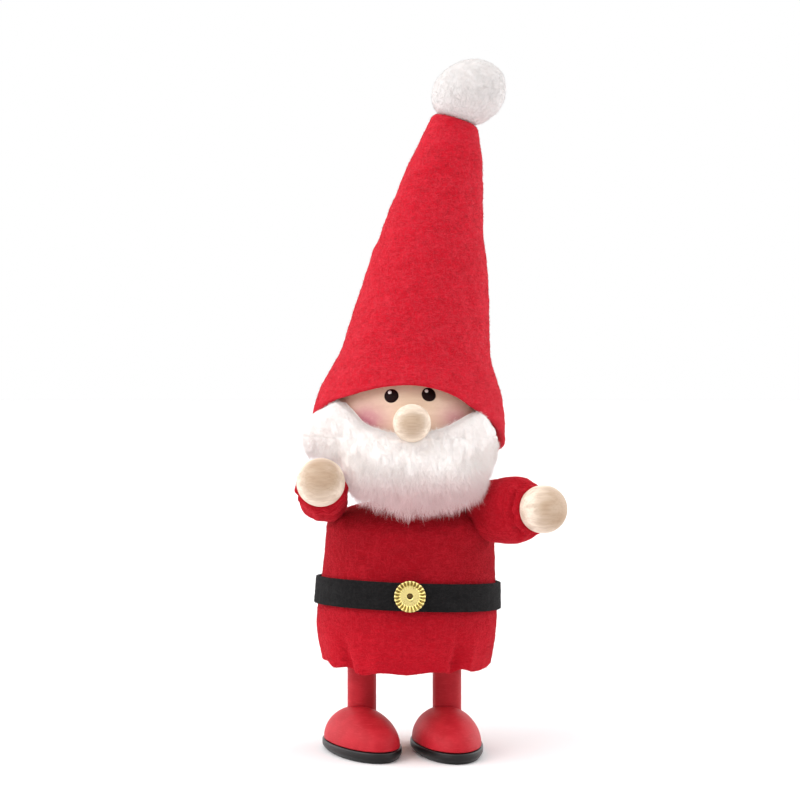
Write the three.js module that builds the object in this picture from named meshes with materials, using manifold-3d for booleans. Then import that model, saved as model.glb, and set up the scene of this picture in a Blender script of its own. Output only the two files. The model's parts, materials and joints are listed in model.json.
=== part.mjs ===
// A standing gnome figurine of wood and felt, 170 mm tall, in millimetres, +Z up.
// It faces -Y. "right" and "left" are the figure's own sides, so right is -X.
// The body's axis is x = 0, y = 0 while the pieces are made; at the end the whole
// figure is moved so that the middle of its footprint box is the origin.

import * as THREE from 'three';
import { mergeVertices } from 'three/addons/utils/BufferGeometryUtils.js';
import Module from 'manifold-3d';

const wasm = await Module();
wasm.setup();

// Fits shared by every piece
const GAP = 0.3; // air between neighbouring pieces
const FELT = 1.5; // felt thickness of hat, tunic and sleeves

// Feet and legs
const SOLE_THICKNESS = 2.7;
const SOLE_PROUD = 0.4; // how far the sole stands out past the shoe
const SHOE_WIDTH = 16.4;
const SHOE_TOE_LENGTH = 17.5; // from the widest line to the toe
const SHOE_HEEL_LENGTH = 12.5; // from the widest line to the heel
const SHOE_RISE = 8.0; // height of the shoe above its sole
const SHOE_FORWARD = 4.0; // widest line ahead of the leg
const LEG_RADIUS = 3.6;
const LEG_DEPTH_IN_SHOE = 6.0;
const LEG_DEPTH_IN_BODY = 11.0;
const FEET = {
  right: { leg: -11.2, shoe: -11.7, turn: 22 },
  left: { leg: 10.0, shoe: 9.6, turn: 10 },
};

// Wooden body
const BODY_BOTTOM = 28.5;
const BODY_SHOULDER = 54.0; // height where the body starts to round in
const BODY_BASE_RADIUS = 20.8;
const BODY_SHOULDER_RADIUS = 18.9;
const BODY_DOME = 6.1; // rise of the rounded top above the shoulder

// Tunic
const SKIRT_LENGTH = 7.2; // felt hanging below the wooden body
const SKIRT_TUCK = 2.2; // how far the hem draws in
const SKIRT_BULGE = 0.55; // share of the skirt's length where it is still full

// Head
const HEAD_RADIUS = 20.0;
const HEAD_SIDE = 0.6;
const HEAD_SEAT = 0.4; // room between the head and the felt under it
const NECK_RADIUS = 3.0;
const NECK_DEPTH = 11.0; // peg length in the body and in the head
const NOSE_RADIUS = 4.5;
const NOSE_STAND_OFF = 4.0; // nose ball's centre ahead of the head's surface
const NOSE_SIDE = 0.5;
const NOSE_DROP = 0.2;
const TENON_RADIUS = 1.5;
const TENON_LENGTH = 11.0;

// Hat
const BRIM_EASE = 3.5; // the brim stands this far off the head
const BRIM_DROP = 3.0; // the brim's plane crosses the axis this far below the head's centre
const BRIM_SLOPE_SIDE = -0.104; // rise of the brim per mm towards the figure's left
const BRIM_SLOPE_BACK = -0.49; // rise of the brim per mm towards the back
const HAT_RISE = 73.8; // closed tip above the head's centre
const HAT_BEND = 4.0; // the hat leans from this far above the head's centre
const HAT_TIP_RADIUS = 6.4;
const HAT_TIP_ROUNDING = 1.8;
const HAT_LEAN = 0.105; // sideways run per mm of height just above the head
const HAT_LEAN_GROWTH = 0.00072; // how fast that lean grows
const HAT_TIP_TILT = 17; // degrees that the closed tip is turned
const STUFFING_RISE = 11.0; // filling starts this far above the head's centre
// The hat's side, as shares of the way up to the tip and of the brim's extra radius.
const HAT_SIDE = [[0, 1], [0.08, 0.965], [0.175, 0.807], [0.255, 0.702], [0.577, 0.427]];
const HAT_SIDE_DROP = 1.0; // that side starts this far below the head's centre
const HAT_SPARE = 2.0; // felt made below the brim's lowest point, then cut away

// Pompom
const POMPOM_RADIUS = 9.25;
const POMPOM_HALF_HEIGHT = 8.0;
const POMPOM_ABOVE_TIP = 6.75;
const POMPOM_SIDE = 3.0;

// Beard
const BACKING = 0.8; // thickness of the skin under the fleece
const BEARD_FULLNESS = 5.6; // how far the fleece stands out past the head
const BEARD_CHIN = -12; // degrees below level where the skin leaves the head
const BEARD_CHEEK = 20; // degrees above level where the skin ends under the hat
// Outlines from the front and a section of the fleece, in head radii from the head's centre.
const BEARD_LENGTH = 1.125;
const BEARD_LOWER = [
  [-1.33, -0.3], [-1, -0.275], [-0.725, -0.475], [-0.55, -0.85], [-0.3, -1.06], [0, -1.125],
  [0.3, -1.09], [0.65, -1.02], [0.9, -0.85], [1.05, -0.55], [1.33, -0.375],
];
const BEARD_UPPER = [
  [0.825, 0.2], [0.575, 0], [0.275, -0.135], [0, -0.185], [-0.275, -0.14], [-0.55, -0.02],
  [-0.8, 0.275],
];
const BEARD_SECTION = [
  [0.46, -1.125], [0.875, -0.925], [1, -0.6], [0.93, -0.3], [0.64, -0.05], [0.32, 0.225],
];

// Belt and buckle
const BELT_WIDTH = 6.8;
const BELT_THICKNESS = 1.0;
const BELT_RISE = 7.9; // lower edge above the body's lower end
const BELT_SLOPE_SIDE = -0.042;
const BELT_SLOPE_BACK = -0.045;
const BELT_SEAM = 0.4;
const BELT_SEAM_STAND_OFF = 5.2; // the seam's cut starts this far behind the axis
const BUCKLE_RADIUS = 3.75;
const BUCKLE_THICKNESS = 0.45;
const BUCKLE_CUP = 0.9; // depth of the pressed cup
const BUCKLE_FLUTES = 24;
const BUCKLE_FLUTE_DEPTH = 0.12;
const BUCKLE_FLAT = 2.25; // radius of the flat middle of the cup
const BUCKLE_GAP = 0.13; // air between the flat middle's lowest point and the belt
const BUCKLE_SIDE = 0.66;
const PIN_RADIUS = 0.5;
const PIN_HEAD_RADIUS = 1.0;
const PIN_LENGTH = 8.0;

// Arms
const WIRE_RADIUS = 0.8;
const WIRE_RISE = 2.8; // height of the wire's bore above the body's shoulder
const WIRE_BEND_IN = 2.6; // the wire starts to bend up this far inside the body's side
const HAND_RADIUS = 5.75;
const ARM_REACH = 18.8; // shoulder pivot to the middle of the hand
const WIRE_PAST_HAND = 1.0; // the wire ends this far past the middle of the hand
const SLEEVE_ROOT_RADIUS = 4.2;
const SLEEVE_RADIUS = 8.05;
const SLEEVE_NARROWING = 0.15; // the sleeve is this much narrower than it is tall
const SLEEVE_COVER = 3.4; // the mouth lies this far behind the middle of the hand
// The sleeve's side, as shares of its largest radius and of its length.
const SLEEVE_SIDE = [[0.78, 0.27], [1, 0.62], [0.92, 0.83]];
const ROOT_OPENING = 42; // half-angle in degrees of the root's opening for the wire
const ARM_RAISE = 6; // degrees that an arm rises above where it stands
const ARM_BEARING = 19.3; // degrees that the pivots lie ahead of the body's sides
// A pivot lies out from the tunic and up from the body's shoulder. From there the arm
// stands along aim; bent down as far as it goes, it lies along hang.
const ARMS = {
  right: { way: -1, out: 1.44, up: 6.2, aim: [0.026, -0.912, 0.406], hang: [-0.70, -0.19, -0.69] },
  left: { way: 1, out: 0.71, up: 5.6, aim: [0.645, -0.76, 0.087], hang: [0.81, -0.04, -0.58] },
};

// Facets around round pieces
const FINE = 40; // the head
const SOFT = 28; // felt and fleece, and what they hide
const MEDIUM = 24;
const COARSE = 10;
// Steps along curved sides
const SLIGHT_CURVE = 3;
const DOME_STEPS = 5;
const BARREL_STEPS = 6;
const FULL_CURVE = 8;
const OUTLINE_STEPS = 2;

// Colours
const RED_FELT = { color: 0xc31f33, roughness: 0.95, metalness: 0 };
const WHITE_WOOL = { color: 0xf4efec, roughness: 0.95, metalness: 0 };
const WOOD = { color: 0xdcbd98, roughness: 0.6, metalness: 0 };
const RED_PAINT = { color: 0xc4333f, roughness: 0.6, metalness: 0 };
const BLACK_RUBBER = { color: 0x262223, roughness: 0.8, metalness: 0 };
const BLACK_FELT = { color: 0x1e1c1d, roughness: 0.95, metalness: 0 };
const BRASS = { color: 0xd8bd62, roughness: 0.3, metalness: 1 };
const STEEL = { color: 0x77726c, roughness: 0.4, metalness: 1 };

const UP = new THREE.Vector3(0, 0, 1);
const ARM_AXIS = new THREE.Vector3(0, 0, 1); // an arm is made along this, then aimed
const figure = new THREE.Group();

// A closed geometry as a solid that can be cut and joined.
function solidOf(geometry) {
  const bare = geometry.clone();
  bare.deleteAttribute('normal');
  bare.deleteAttribute('uv');
  const merged = mergeVertices(bare);
  const corners = merged.index.array;
  const kept = [];
  for (let i = 0; i < corners.length; i += 3) {
    const [a, b, c] = corners.slice(i, i + 3);
    if (a !== b && b !== c && c !== a) kept.push(a, b, c);
  }
  return new wasm.Manifold(new wasm.Mesh({
    numProp: 3,
    vertProperties: new Float32Array(merged.attributes.position.array),
    triVerts: new Uint32Array(kept),
  }));
}

function geometryOf(solid) {
  const mesh = solid.getMesh();
  const geometry = new THREE.BufferGeometry();
  geometry.setAttribute('position', new THREE.BufferAttribute(mesh.vertProperties.slice(), 3));
  geometry.setIndex(new THREE.BufferAttribute(mesh.triVerts.slice(), 1));
  geometry.computeVertexNormals();
  return geometry;
}

function addPiece(name, solid, finish, parent = figure) {
  const piece = new THREE.Mesh(geometryOf(solid), new THREE.MeshStandardMaterial(finish));
  piece.name = name;
  parent.add(piece);
  return piece;
}

// A profile of [radius, height] points, turned around the Z axis.
function turned(profile, segments = SOFT) {
  const geometry = new THREE.LatheGeometry(profile, segments);
  return geometry.rotateX(Math.PI / 2);
}

function ball(radius, centre, segments = MEDIUM) {
  const geometry = new THREE.SphereGeometry(radius, segments, segments / 2);
  geometry.rotateX(Math.PI / 2);
  geometry.translate(centre.x, centre.y, centre.z);
  return solidOf(geometry);
}

function rod(radius, start, end, segments = COARSE) {
  const run = end.clone().sub(start);
  const geometry = new THREE.CylinderGeometry(radius, radius, run.length(), segments);
  const turn = new THREE.Quaternion().setFromUnitVectors(new THREE.Vector3(0, 1, 0), run.normalize());
  geometry.applyQuaternion(turn);
  const middle = start.clone().add(end).multiplyScalar(0.5);
  geometry.translate(middle.x, middle.y, middle.z);
  return solidOf(geometry);
}

// Moves every point of a geometry with place(point).
function reshape(geometry, place) {
  const positions = geometry.attributes.position;
  const point = new THREE.Vector3();
  for (let i = 0; i < positions.count; i += 1) {
    point.fromBufferAttribute(positions, i);
    place(point);
    positions.setXYZ(i, point.x, point.y, point.z);
  }
  return geometry;
}

// The body's side: a cone with a rounded top, moved out by offset.
const bodyTaper = (BODY_BASE_RADIUS - BODY_SHOULDER_RADIUS) / (BODY_SHOULDER - BODY_BOTTOM);
const bodyTop = BODY_SHOULDER + BODY_DOME;
const tunicInside = GAP;
const tunicOutside = GAP + FELT;
const headBottom = bodyTop + FELT + HEAD_SEAT;
const headCentre = new THREE.Vector3(HEAD_SIDE, 0, headBottom + HEAD_RADIUS);

// Heights on the two slanting planes, the brim's and the belt's.
const brimRadius = HEAD_RADIUS + BRIM_EASE;
const cutSize = 4 * brimRadius; // edge of the blocks that trim the hat and what is in it
const brimMiddle = headCentre.z - BRIM_DROP;
const brimHeight = (x, y) => brimMiddle + BRIM_SLOPE_SIDE * x + BRIM_SLOPE_BACK * y;
const beltMiddle = BODY_BOTTOM + BELT_RISE;
const beltHeight = (x, y) => beltMiddle + BELT_SLOPE_SIDE * x + BELT_SLOPE_BACK * y;

// A block whose upper face lies on the brim's plane, raised by rise.
function underBrim(rise) {
  const block = new THREE.BoxGeometry(cutSize, cutSize, cutSize);
  block.translate(0, 0, -cutSize / 2);
  const normal = new THREE.Vector3(-BRIM_SLOPE_SIDE, -BRIM_SLOPE_BACK, 1).normalize();
  block.applyQuaternion(new THREE.Quaternion().setFromUnitVectors(UP, normal));
  block.translate(0, 0, brimMiddle + rise);
  return solidOf(block);
}

function bodyRadius(height, offset) {
  if (height <= BODY_SHOULDER) {
    return BODY_SHOULDER_RADIUS + offset + bodyTaper * (BODY_SHOULDER - height);
  }
  const rise = (height - BODY_SHOULDER) / (BODY_DOME + offset);
  return (BODY_SHOULDER_RADIUS + offset) * Math.sqrt(Math.max(0, 1 - rise * rise));
}

// Points over the body's rounded top, from the shoulder in to innerRadius.
function domePoints(offset, innerRadius) {
  const radius = BODY_SHOULDER_RADIUS + offset;
  const dome = new THREE.EllipseCurve(
    0, BODY_SHOULDER, radius, BODY_DOME + offset, 0, Math.acos(innerRadius / radius));
  return dome.getPoints(DOME_STEPS);
}

// Points up the open skirt, from the hem to the body's lower end.
function skirtPoints(offset) {
  const full = bodyRadius(BODY_BOTTOM, offset);
  const skirt = new THREE.QuadraticBezierCurve(
    new THREE.Vector2(full - SKIRT_TUCK, BODY_BOTTOM - SKIRT_LENGTH),
    new THREE.Vector2(full, BODY_BOTTOM - SKIRT_LENGTH * (1 - SKIRT_BULGE)),
    new THREE.Vector2(full, BODY_BOTTOM));
  return skirt.getPoints(SLIGHT_CURVE);
}

// Gives a round unit shape the egg-shaped plan of a shoe, widened by extra.
function eggPlan(geometry, extra) {
  return reshape(geometry, (point) => {
    point.x *= SHOE_WIDTH / 2 + extra;
    point.y *= (point.y < 0 ? SHOE_TOE_LENGTH : SHOE_HEEL_LENGTH) + extra;
  });
}

const shoeBottom = SOLE_THICKNESS + GAP;
const shoeTop = shoeBottom + SHOE_RISE;
const legBottom = shoeTop - LEG_DEPTH_IN_SHOE;
const legTop = BODY_BOTTOM + LEG_DEPTH_IN_BODY;

// The clearance hole round a leg, at (x, y).
function legBore(x, y) {
  const start = new THREE.Vector3(x, y, legBottom - GAP);
  const end = new THREE.Vector3(x, y, legTop + GAP);
  return rod(LEG_RADIUS + GAP, start, end, MEDIUM);
}

function makeSole() {
  const slab = [
    new THREE.Vector2(0, 0),
    new THREE.Vector2(1, 0),
    new THREE.Vector2(1, SOLE_THICKNESS),
    new THREE.Vector2(0, SOLE_THICKNESS),
  ];
  return solidOf(eggPlan(turned(slab, FINE), SOLE_PROUD));
}

function makeShoe(legX, legY) {
  const quarter = new THREE.EllipseCurve(0, shoeBottom, 1, SHOE_RISE, 0, Math.PI / 2);
  const dome = quarter.getPoints(FULL_CURVE);
  dome[dome.length - 1].x = 0;
  const profile = [new THREE.Vector2(0, shoeBottom), ...dome];
  return solidOf(eggPlan(turned(profile, FINE), 0)).subtract(legBore(legX, legY));
}

function makeLeg(x) {
  const start = new THREE.Vector3(x, 0, legBottom);
  return rod(LEG_RADIUS, start, new THREE.Vector3(x, 0, legTop), MEDIUM);
}

function addFoot(side, { leg, shoe, turn }) {
  const foot = new THREE.Group();
  foot.position.set(shoe, -SHOE_FORWARD, 0);
  foot.rotation.z = THREE.MathUtils.degToRad(turn);
  foot.updateMatrixWorld();
  figure.add(foot);
  const socket = foot.worldToLocal(new THREE.Vector3(leg, 0, 0));
  addPiece(`sole_${side}`, makeSole(), BLACK_RUBBER, foot);
  addPiece(`shoe_${side}`, makeShoe(socket.x, socket.y), RED_PAINT, foot);
  addPiece(`leg_${side}`, makeLeg(leg), RED_PAINT);
}

// One wire runs level through the body, then bends up towards each shoulder pivot.
const wireHeight = BODY_SHOULDER + WIRE_RISE;
const wireDepth = (pivotOf('right').y + pivotOf('left').y) / 2;

function pivotOf(side) {
  const { way, out, up } = ARMS[side];
  const bearing = THREE.MathUtils.degToRad(ARM_BEARING);
  const radius = BODY_SHOULDER_RADIUS + tunicOutside + out;
  return new THREE.Vector3(
    way * radius * Math.cos(bearing), -radius * Math.sin(bearing), BODY_SHOULDER + up);
}

function wireBend(side) {
  const out = bodyRadius(wireHeight, 0) - WIRE_BEND_IN;
  return new THREE.Vector3(ARMS[side].way * out, wireDepth, wireHeight);
}

// Direction from a shoulder pivot back along the wire.
const wireDirection = (side) => wireBend(side).sub(pivotOf(side)).normalize();

function shoulderWire(extra) {
  const radius = WIRE_RADIUS + extra;
  const middle = new THREE.Vector3(0, wireDepth, wireHeight);
  const stretches = ['right', 'left'].map((side) => {
    const bend = wireBend(side);
    const end = pivotOf(side).addScaledVector(wireDirection(side), 2 * WIRE_RADIUS + GAP);
    return rod(radius, middle, bend).add(ball(radius, bend, COARSE)).add(rod(radius, bend, end));
  });
  return stretches[0].add(stretches[1]);
}

function neckRod(extra) {
  const start = new THREE.Vector3(headCentre.x, 0, bodyTop - NECK_DEPTH - extra);
  const end = new THREE.Vector3(headCentre.x, 0, headBottom + NECK_DEPTH + extra);
  return rod(NECK_RADIUS + extra, start, end, MEDIUM);
}

// The nail through buckle, belt, tunic and body, widened by extra.
const buckleHeight = beltHeight(BUCKLE_SIDE, -BODY_BASE_RADIUS) + BELT_WIDTH / 2;
const beltOutside = tunicOutside + GAP + BELT_THICKNESS;
const buckleBack = bodyRadius(buckleHeight - BUCKLE_FLAT, beltOutside) + BUCKLE_GAP;
const buckleFront = buckleBack + BUCKLE_THICKNESS;

function pinRod(extra) {
  const start = new THREE.Vector3(BUCKLE_SIDE, -(buckleFront - PIN_LENGTH - extra), buckleHeight);
  const end = new THREE.Vector3(BUCKLE_SIDE, -(buckleFront + GAP + extra), buckleHeight);
  return rod(PIN_RADIUS + extra, start, end);
}

function makeBodyCore() {
  const profile = [
    new THREE.Vector2(0, BODY_BOTTOM),
    new THREE.Vector2(bodyRadius(BODY_BOTTOM, 0), BODY_BOTTOM),
    ...domePoints(0, 0),
  ];
  profile[profile.length - 1].x = 0;
  return solidOf(turned(profile))
    .subtract(legBore(FEET.right.leg, 0))
    .subtract(legBore(FEET.left.leg, 0))
    .subtract(neckRod(GAP))
    .subtract(pinRod(GAP))
    .subtract(shoulderWire(GAP));
}

function armhole(side) {
  return ball(SLEEVE_ROOT_RADIUS + 2 * GAP, pivotOf(side));
}

function makeTunic() {
  const neckline = NECK_RADIUS + GAP;
  const outer = [...skirtPoints(tunicOutside), ...domePoints(tunicOutside, neckline)];
  const inner = [...skirtPoints(tunicInside), ...domePoints(tunicInside, neckline)];
  const profile = [...outer, ...inner.reverse(), outer[0].clone()];
  return solidOf(turned(profile))
    .subtract(armhole('right'))
    .subtract(armhole('left'))
    .subtract(shoulderWire(GAP))
    .subtract(neckRod(GAP))
    .subtract(pinRod(GAP));
}

function makeBelt() {
  const inside = tunicOutside + GAP;
  const profile = [
    new THREE.Vector2(inside, 0),
    new THREE.Vector2(beltOutside, 0),
    new THREE.Vector2(beltOutside, BELT_WIDTH),
    new THREE.Vector2(inside, BELT_WIDTH),
    new THREE.Vector2(inside, 0),
  ];
  // Each point holds its offset from the body as a radius; here it is laid on the body.
  const strip = reshape(turned(profile), (point) => {
    const offset = Math.hypot(point.x, point.y);
    const across = point.x / offset;
    const back = point.y / offset;
    const nearRadius = bodyRadius(beltMiddle, offset);
    point.z += beltHeight(across * nearRadius, back * nearRadius);
    const radius = bodyRadius(point.z, offset);
    point.x = across * radius;
    point.y = back * radius;
  });
  const seam = new THREE.BoxGeometry(BELT_SEAM, BODY_BASE_RADIUS, BODY_BASE_RADIUS);
  seam.translate(0, BODY_BASE_RADIUS + BELT_SEAM_STAND_OFF, beltMiddle);
  return solidOf(strip).subtract(solidOf(seam)).subtract(pinRod(GAP));
}

// The buckle is turned about its own axis, then its rim is fluted and it is stood up.
function makeBuckle() {
  const cup = BUCKLE_FLAT;
  const hole = PIN_RADIUS + GAP;
  const profile = [
    new THREE.Vector2(hole, 0),
    new THREE.Vector2(cup, 0),
    new THREE.Vector2(BUCKLE_RADIUS, BUCKLE_CUP),
    new THREE.Vector2(BUCKLE_RADIUS, BUCKLE_CUP + BUCKLE_THICKNESS),
    new THREE.Vector2(cup, BUCKLE_THICKNESS),
    new THREE.Vector2(hole, BUCKLE_THICKNESS),
    new THREE.Vector2(hole, 0),
  ];
  const disc = reshape(turned(profile, 2 * BUCKLE_FLUTES), (point) => {
    const radius = Math.hypot(point.x, point.y);
    const turn = Math.atan2(point.y, point.x);
    const rim = Math.max(0, (radius - cup) / (BUCKLE_RADIUS - cup));
    const wave = 1 - (BUCKLE_FLUTE_DEPTH / BUCKLE_RADIUS) * rim * (1 + Math.cos(BUCKLE_FLUTES * turn));
    point.x *= wave;
    point.y *= wave;
  });
  disc.rotateX(Math.PI / 2);
  disc.translate(BUCKLE_SIDE, -buckleBack, buckleHeight);
  return solidOf(disc);
}

function makeBucklePin() {
  const nailHead = new THREE.Vector3(BUCKLE_SIDE, -(buckleFront + GAP), buckleHeight);
  const behind = nailHead.clone().setY(nailHead.y + PIN_HEAD_RADIUS);
  const back = rod(2 * PIN_HEAD_RADIUS, nailHead, behind);
  return ball(PIN_HEAD_RADIUS, nailHead, COARSE).subtract(back).add(pinRod(0));
}

function makeHead() {
  return ball(HEAD_RADIUS, headCentre, FINE).subtract(neckRod(GAP)).subtract(tenon(GAP));
}

const noseOffset = new THREE.Vector3(NOSE_SIDE, -HEAD_RADIUS - NOSE_STAND_OFF, -NOSE_DROP);
const noseCentre = headCentre.clone().add(noseOffset);

function tenon(extra) {
  const end = noseCentre.clone();
  end.y += NOSE_RADIUS + TENON_LENGTH + extra;
  return rod(TENON_RADIUS + extra, noseCentre, end);
}

function makeNose() {
  const clearHead = ball(HEAD_RADIUS + GAP, headCentre, SOFT);
  return ball(NOSE_RADIUS, noseCentre).subtract(clearHead).add(tenon(0));
}

const hatTip = headCentre.z + HAT_RISE;
const hatBend = headCentre.z + HAT_BEND;

// The upright hat's outline, from its brim to its closed tip, thinned by inset for its inside.
function hatProfile(inset) {
  const start = headCentre.z - HAT_SIDE_DROP;
  const end = hatTip - HAT_TIP_ROUNDING;
  const side = HAT_SIDE.map(([up, share]) => new THREE.Vector2(
    HAT_TIP_RADIUS + (brimRadius - HAT_TIP_RADIUS) * share - inset, start + (end - start) * up));
  const bottom = brimHeight(0, brimRadius) - HAT_SPARE;
  const below = new THREE.Vector2(brimRadius - inset, bottom);
  const last = new THREE.Vector2(HAT_TIP_RADIUS - inset, end - inset);
  const shoulder = HAT_TIP_RADIUS - HAT_TIP_ROUNDING - inset;
  return [
    new THREE.Vector2(0, bottom),
    ...new THREE.SplineCurve([below, ...side, last]).getPoints(FULL_CURVE),
    new THREE.Vector2(shoulder + HAT_TIP_ROUNDING / 2, hatTip - HAT_TIP_ROUNDING / 4 - inset),
    new THREE.Vector2(shoulder - HAT_TIP_ROUNDING / 2, hatTip - inset),
    new THREE.Vector2(0, hatTip - inset),
  ];
}

// Carries a point of an upright hat to its place on the leaning one.
function lean(point) {
  const rise = Math.max(0, point.z - hatBend);
  const share = rise / (hatTip - hatBend);
  const tilt = THREE.MathUtils.degToRad(HAT_TIP_TILT * share);
  const run = headCentre.x + HAT_LEAN * rise + HAT_LEAN_GROWTH * rise * rise;
  point.z -= point.x * Math.sin(tilt);
  point.x = run + point.x * Math.cos(tilt);
}

const leaningCone = (inset) => solidOf(reshape(turned(hatProfile(inset)), lean));

function makeHat() {
  return leaningCone(0).subtract(leaningCone(FELT)).subtract(underBrim(0));
}

function makeStuffing() {
  const below = new THREE.BoxGeometry(cutSize, cutSize, cutSize);
  below.translate(0, 0, headCentre.z + STUFFING_RISE - cutSize / 2);
  return leaningCone(FELT + GAP)
    .subtract(solidOf(below))
    .subtract(ball(HEAD_RADIUS + GAP, headCentre, SOFT));
}

// The pompom sits over the closed tip in a shallow socket of its own.
function makePompom() {
  const tip = new THREE.Group();
  const tipPoint = new THREE.Vector3(0, 0, hatTip);
  lean(tipPoint);
  tip.position.copy(tipPoint);
  tip.rotation.y = THREE.MathUtils.degToRad(HAT_TIP_TILT);
  tip.updateMatrixWorld();
  figure.add(tip);
  const wool = new THREE.SphereGeometry(POMPOM_RADIUS, MEDIUM, MEDIUM / 2);
  wool.rotateX(Math.PI / 2);
  wool.scale(1, 1, POMPOM_HALF_HEIGHT / POMPOM_RADIUS);
  wool.translate(POMPOM_SIDE - POMPOM_ABOVE_TIP * Math.tan(tip.rotation.y), 0, POMPOM_ABOVE_TIP);
  const below = new THREE.Vector3(0, 0, -HAT_TIP_RADIUS);
  const socket = rod(HAT_TIP_RADIUS + 2 * GAP, below, new THREE.Vector3(0, 0, GAP), MEDIUM);
  addPiece('pompom', solidOf(wool).subtract(socket), WHITE_WOOL, tip);
}

const beardRadius = HEAD_RADIUS + BEARD_FULLNESS;

// The beard's outline as seen from the front, as a block to cut it with.
function beardOutline(raise) {
  const place = ([x, z], lift) => new THREE.Vector2(
    x * HEAD_RADIUS, headCentre.z + z * HEAD_RADIUS + lift);
  const [first, ...lower] = BEARD_LOWER.map((point) => place(point, 0));
  const [cheek, ...upper] = BEARD_UPPER.map((point) => place(point, raise));
  const top = headCentre.z + HEAD_RADIUS / 2;
  const outline = new THREE.Shape();
  outline.moveTo(first.x, first.y);
  outline.splineThru(lower);
  outline.lineTo(lower[lower.length - 1].x, top);
  outline.lineTo(cheek.x, cheek.y);
  outline.splineThru(upper);
  outline.lineTo(first.x, top);
  outline.closePath();
  const settings = { depth: 2 * beardRadius, bevelEnabled: false, curveSegments: OUTLINE_STEPS };
  const block = new THREE.ExtrudeGeometry(outline, settings);
  block.rotateX(Math.PI / 2);
  return solidOf(block);
}

// Points from the cheek down over the ball to the chin, then straight down.
function facePoints(offset) {
  const radius = HEAD_RADIUS + offset;
  const start = THREE.MathUtils.degToRad(BEARD_CHEEK);
  const chin = THREE.MathUtils.degToRad(BEARD_CHIN);
  const cheek = new THREE.EllipseCurve(0, headCentre.z, radius, radius, start, chin, true);
  const bottom = headCentre.z - BEARD_LENGTH * HEAD_RADIUS;
  return [...cheek.getPoints(SLIGHT_CURVE), new THREE.Vector2(radius * Math.cos(chin), bottom)];
}

function makeBeardPart(profile, raise) {
  const sheet = turned([...profile, profile[0].clone()]);
  sheet.translate(headCentre.x, headCentre.y, 0);
  return solidOf(sheet)
    .intersect(beardOutline(raise))
    .intersect(underBrim(-GAP))
    .subtract(ball(NOSE_RADIUS + GAP, noseCentre))
    .subtract(armRoom('right'))
    .subtract(armRoom('left'));
}

function makeBacking() {
  const outer = facePoints(GAP + BACKING).reverse();
  return makeBeardPart([...outer, ...facePoints(GAP)], GAP);
}

function makeFleece() {
  const outside = BEARD_SECTION.map(([out, up]) => new THREE.Vector2(
    HEAD_RADIUS + BEARD_FULLNESS * out, headCentre.z + up * HEAD_RADIUS));
  const outer = new THREE.SplineCurve(outside).getPoints(BARREL_STEPS);
  return makeBeardPart([...outer, ...facePoints(2 * GAP + BACKING)], 0);
}

// Local frame of an arm: the pivot is its origin and the hand lies up its Z axis.
function armTurn(side) {
  const aim = new THREE.Vector3(...ARMS[side].aim).normalize();
  const level = new THREE.Vector3().crossVectors(aim, UP).normalize();
  const rise = new THREE.Vector3().crossVectors(level, aim);
  const basis = new THREE.Matrix4().makeBasis(level, rise.negate(), aim);
  return new THREE.Quaternion().setFromRotationMatrix(basis);
}

const sleeveEnd = ARM_REACH - SLEEVE_COVER;
const sleeveMouth = Math.sqrt(HAND_RADIUS ** 2 - SLEEVE_COVER ** 2) + GAP;

// A sleeve's profile from its rounded root to its gathered mouth, thinned by inset.
function sleeveProfile(inset) {
  const root = SLEEVE_ROOT_RADIUS - inset;
  const quarter = new THREE.EllipseCurve(0, 0, root, root, -Math.PI / 2, 0);
  const rounded = quarter.getPoints(SLIGHT_CURVE);
  rounded[0].x = 0;
  const lip = (FELT - inset) / 2;
  const side = SLEEVE_SIDE.map(([out, along]) => new THREE.Vector2(
    SLEEVE_RADIUS * out - inset, sleeveEnd * along));
  const mouth = new THREE.Vector2(sleeveMouth + lip, sleeveEnd - inset / 2);
  const barrel = new THREE.SplineCurve([rounded.pop(), ...side, mouth]);
  return [...rounded, ...barrel.getPoints(BARREL_STEPS)];
}

// Makes the round sleeve an upright oval where it is widest.
function flatten(point) {
  const share = THREE.MathUtils.clamp(point.z / sleeveEnd, 0, 1);
  point.x *= 1 - SLEEVE_NARROWING * Math.sin(Math.PI * share);
}

// Where the wire enters the sleeve's root when the arm is half-way through its swing.
function rootOpening(side) {
  const aim = new THREE.Vector3(...ARMS[side].aim).normalize();
  const hang = new THREE.Vector3(...ARMS[side].hang).normalize();
  const axis = new THREE.Vector3().crossVectors(aim, hang).normalize();
  const middle = (aim.angleTo(hang) - THREE.MathUtils.degToRad(ARM_RAISE)) / 2;
  return wireDirection(side).applyAxisAngle(axis, -middle);
}

function makeSleeve(side) {
  const outer = sleeveProfile(0);
  const inner = sleeveProfile(FELT).reverse();
  const shell = reshape(turned([...outer, ...inner], MEDIUM), flatten);
  const opening = rootOpening(side);
  const reach = 2 * SLEEVE_ROOT_RADIUS;
  const width = reach * Math.tan(THREE.MathUtils.degToRad(ROOT_OPENING));
  const cone = new THREE.ConeGeometry(width, reach, MEDIUM);
  cone.translate(0, -reach / 2, 0);
  cone.applyQuaternion(new THREE.Quaternion().setFromUnitVectors(
    new THREE.Vector3(0, -1, 0), opening.applyQuaternion(armTurn(side).invert())));
  return solidOf(shell).subtract(solidOf(cone));
}

const handCentre = ARM_AXIS.clone().multiplyScalar(ARM_REACH);
const wireTip = ARM_AXIS.clone().multiplyScalar(ARM_REACH + WIRE_PAST_HAND);

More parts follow.
